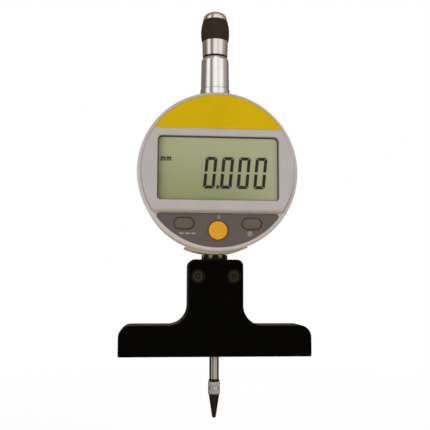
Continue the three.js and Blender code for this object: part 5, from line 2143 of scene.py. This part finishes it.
@dataclass
class Studio:
    """Floor, lamps, the tent that glossy surfaces reflect, and the camera."""

    floor_height: float = -60
    floor_depth: float = 5
    floor_reach: float = 6000
    floor_colour: Colour = (0.9, 0.9, 0.9)
    thrown_colour: Colour = (0.95, 0.77, 0.54)
    floor_glow: Pair = (0.93, 0.07)
    glow_fade: Pair = (150, 520)
    distance: float = 291.9
    azimuth: float = -5.1
    eye_height: float = 28.8
    pitch: float = 5.98
    roll: float = 0.18
    aside: float = 0.2
    lens: float = 57.09
    fill: float = 0.53
    aim: Triple = (0, 0, 70)
    lamps: tuple[tuple[str, Triple, float, float], ...] = (
        ("key_lamp", (225, -205, 165), 120, 0.34), ("fill_lamp", (-300, -195, -15), 230, 0.8),
        ("back_lamp", (60, 380, 190), 260, 0.62))
    tent_radius: float = 600
    tent_wall: float = 560
    tent_top: float = 860
    tent_peak: float = 920
    panels: tuple[Pair, ...] = (
        (-180, 0.8), (-166, 0.8), (-152, 0.14), (-93, 0.17), (-80, 0.4), (-68, 1.05),
        (-54, 1.05), (-40, 0.28), (-29, 0.24), (-14, 1.0), (8, 1.05), (23, 0.74), (40, 1.05),
        (56, 1.0), (74, 0.42), (102, 0.28), (125, 0.12), (144, 0.14), (158, 0.8), (180, 0.8))
    low_panel: float = 0.2
    panel_fade: Pair = (130, 285)
    low_floor: Pair = (0.08, 0.74)
    near_fade: Pair = (60, 260)
    floor_damping: float = 0.9
    ceiling: float = 0.26
    ceiling_fades: tuple[Pair, Pair] = ((560, 780), (-290, -200))
    behind_fades: tuple[Pair, Pair] = ((270, 430), (100, 300))
    dim_tint: Colour = (1.2, 1.0, 0.8)

    def camera(self) -> None:
        """Stand the camera where the photograph was taken."""
        turn, tilt, lean = (math.radians(angle) for angle in (self.azimuth, self.pitch, self.roll))
        right = Vector((math.cos(turn), math.sin(turn), 0))
        level = Vector((-math.sin(turn), math.cos(turn), 0))
        plumb = Vector((0, 0, 1))
        up = plumb * math.cos(tilt) - level * math.sin(tilt)
        ahead = level * math.cos(tilt) + plumb * math.sin(tilt)
        place = right * self.aside - level * self.distance + plumb * self.eye_height
        side = right * math.cos(lean) + up * math.sin(lean)
        over = up * math.cos(lean) - right * math.sin(lean)
        view = bpy.data.cameras.new("camera")
        view.lens, view.sensor_width = self.lens, 36
        view.clip_start, view.clip_end = 0.01, 20
        camera = placed("camera", view)
        frame = Matrix((side, over, -ahead)).transposed().to_4x4()
        frame.translation = place * MM
        camera.matrix_world = frame
        bpy.context.scene.camera = camera

    def world(self) -> None:
        """Fill light from all round, and white to the camera, in a gloss and through glass."""
        world = bpy.data.worlds.new("studio")
        bpy.context.scene.world = world
        world.use_nodes = True
        tree = world.node_tree
        tree.nodes.clear()
        rays, first, second, level, light, output = (
            tree.nodes.new(f"ShaderNode{kind}") for kind in (
                "LightPath", "Math", "Math", "MapRange", "Background", "OutputWorld"))
        first.operation = second.operation = "MAXIMUM"
        level.inputs["To Min"].default_value = self.fill
        level.inputs["To Max"].default_value = 1
        light.inputs["Color"].default_value = (1, 1, 1, 1)
        for source, target in (
                (rays.outputs["Is Camera Ray"], first.inputs[0]),
                (rays.outputs["Is Glossy Ray"], first.inputs[1]),
                (first.outputs[0], second.inputs[0]),
                (rays.outputs["Is Transmission Ray"], second.inputs[1]),
                (second.outputs[0], level.inputs["Value"]),
                (level.outputs[0], light.inputs["Strength"]),
                (light.outputs[0], output.inputs[0])):
            tree.links.new(source, target)

    def floor(self) -> None:
        """A broad floor: white and shadowed to the camera, warm and dim in what it throws back."""
        reach = self.floor_reach
        surface = prism([(-reach, -reach), (reach, -reach), (reach, reach), (-reach, reach)],
                        self.floor_height - self.floor_depth, self.floor_height, Axis.UP)
        floor = placed("floor", surface.mesh("floor"))
        shade = Shade("white_floor")
        thrown = shade.wave("ShaderNodeLightPath", "Is Diffuse Ray")
        across, depth, _ = shade.axes()
        shade.set(Base_Color=shade.mix(thrown, self.floor_colour, self.thrown_colour),
                  Roughness=0.9, Specular_IOR_Level=0.1)
        glow = shade.node("ShaderNodeEmission", {"Color": (1.0, 1.0, 1.0), "Strength": 1.0})
        near, gain = self.floor_glow
        share = (1.0 - thrown) * (near + across.beside(depth).step(*self.glow_fade) * gain)
        blend = shade.node("ShaderNodeMixShader", {
            0: share, 1: shade.shader.outputs[0], 2: glow.outputs[0]})
        shade.feed(shade.output.inputs["Surface"], blend.outputs[0])
        floor.data.materials.append(shade.material)

    def lamp(self, name: str, place: Triple, size: float, watts: float) -> None:
        """A square soft lamp aimed at the middle of the gauge.

        Args:
            name: Name of the lamp.
            place: Where it stands.
            size: Length of its side.
            watts: Its power.
        """
        light = bpy.data.lights.new(name, "AREA")
        light.shape, light.size, light.energy = "SQUARE", size * MM, watts
        lamp = placed(name, light)
        lamp.location = Vector(place) * MM
        aim = Vector(self.aim) * MM - lamp.location
        lamp.rotation_euler = aim.to_track_quat("-Z", "Y").to_euler()
        lamp.visible_glossy = lamp.visible_camera = False

    def tent(self) -> None:
        """A tent that only a gloss can see, with bright and dark panels round the gauge.

        Its light is the panels' level round Z. It is dimmed on the wall below the level of the
        face, over the floor near the gauge, and towards the ceiling overhead and behind. Dim
        parts are a little warm.
        """
        foot = self.floor_height + 2
        surface = turned([(0, foot), (self.tent_radius, foot), (self.tent_radius, self.tent_wall),
                          (self.tent_radius * 0.6, self.tent_top), (0, self.tent_peak)], Axis.UP)
        tent = placed("reflection_tent", surface.mesh("reflection_tent"))
        shade = Shade("tent_cloth")
        across, depth, height = shade.axes()
        turn = across.math("ARCTAN2", depth * -1.0)
        bright = shade.ramp(turn / (2 * math.pi) + 0.5,
                            [(angle / 360 + 0.5, level) for angle, level in self.panels])
        floor = 1.0 - height.step(foot, foot + 4)
        wall = height.step(*self.panel_fade) * (1 - self.low_panel) + self.low_panel
        dark, pale = self.low_floor
        near = across.beside(depth).step(*self.near_fade) * (pale - dark) + dark
        dim = wall * (1.0 - floor) + near * floor
        overhead, behind = (height.step(*fade) * depth.step(*reach)
                            for fade, reach in (self.ceiling_fades, self.behind_fades))
        above = overhead.math("MAXIMUM", behind)
        bright = bright * (1.0 - floor * (1.0 - bright) * self.floor_damping)
        level = bright * dim * (1.0 - above) + above * self.ceiling
        light = shade.node("ShaderNodeVectorMath", {
            0: shade.mix(level, self.dim_tint, (1.0, 1.0, 1.0)), 3: level}, operation="SCALE")
        shade.set(Base_Color=(0.0, 0.0, 0.0), Emission_Color=light.outputs[0],
                  Emission_Strength=1.0, Roughness=1.0, Specular_IOR_Level=0.0)
        tent.data.materials.append(shade.material)
        for ray in ("camera", "diffuse", "transmission", "volume_scatter", "shadow"):
            setattr(tent, f"visible_{ray}", False)

    def build(self) -> None:
        """Set up the whole stage."""
        bpy.context.scene.view_settings.view_transform = "Standard"
        self.camera()
        self.world()
        self.floor()
        self.tent()
        for lamp in self.lamps:
            self.lamp(*lamp)


# ---------------------------------------------------------------- whole gauge


def dress_nodes(frame: dict[str, Any]) -> None:
    """Give every piece of the frame the finish of its material slot.

    Args:
        frame: The loaded frame.
    """
    slots = {part["node"]: part["material_slot"] for part in frame["record"]["subparts"]}
    for name, node in frame["nodes"].items():
        finish = FINISH_OF_SLOT[slots[name]]
        node.data.materials.clear()
        node.data.materials.append(finish.material())
        log.info("%s: %s", name, finish.name)


def main() -> None:
    """Load the frame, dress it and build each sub-assembly."""
    logging.basicConfig(level=logging.INFO, format="%(message)s")
    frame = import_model()
    dress_nodes(frame)
    bezel = FrontBezel()
    for assembly in (DepthBase(), Stem(), CaseBody(), RearCover(), bezel, TopBand(bezel),
                     Keypad(bezel), Display(bezel), UpperTube(), ReturnSpring(), Knob(), Contact(),
                     Studio()):
        assembly.build()
        log.info("%s built", type(assembly).__name__)


if __name__ == "__main__":
    main()
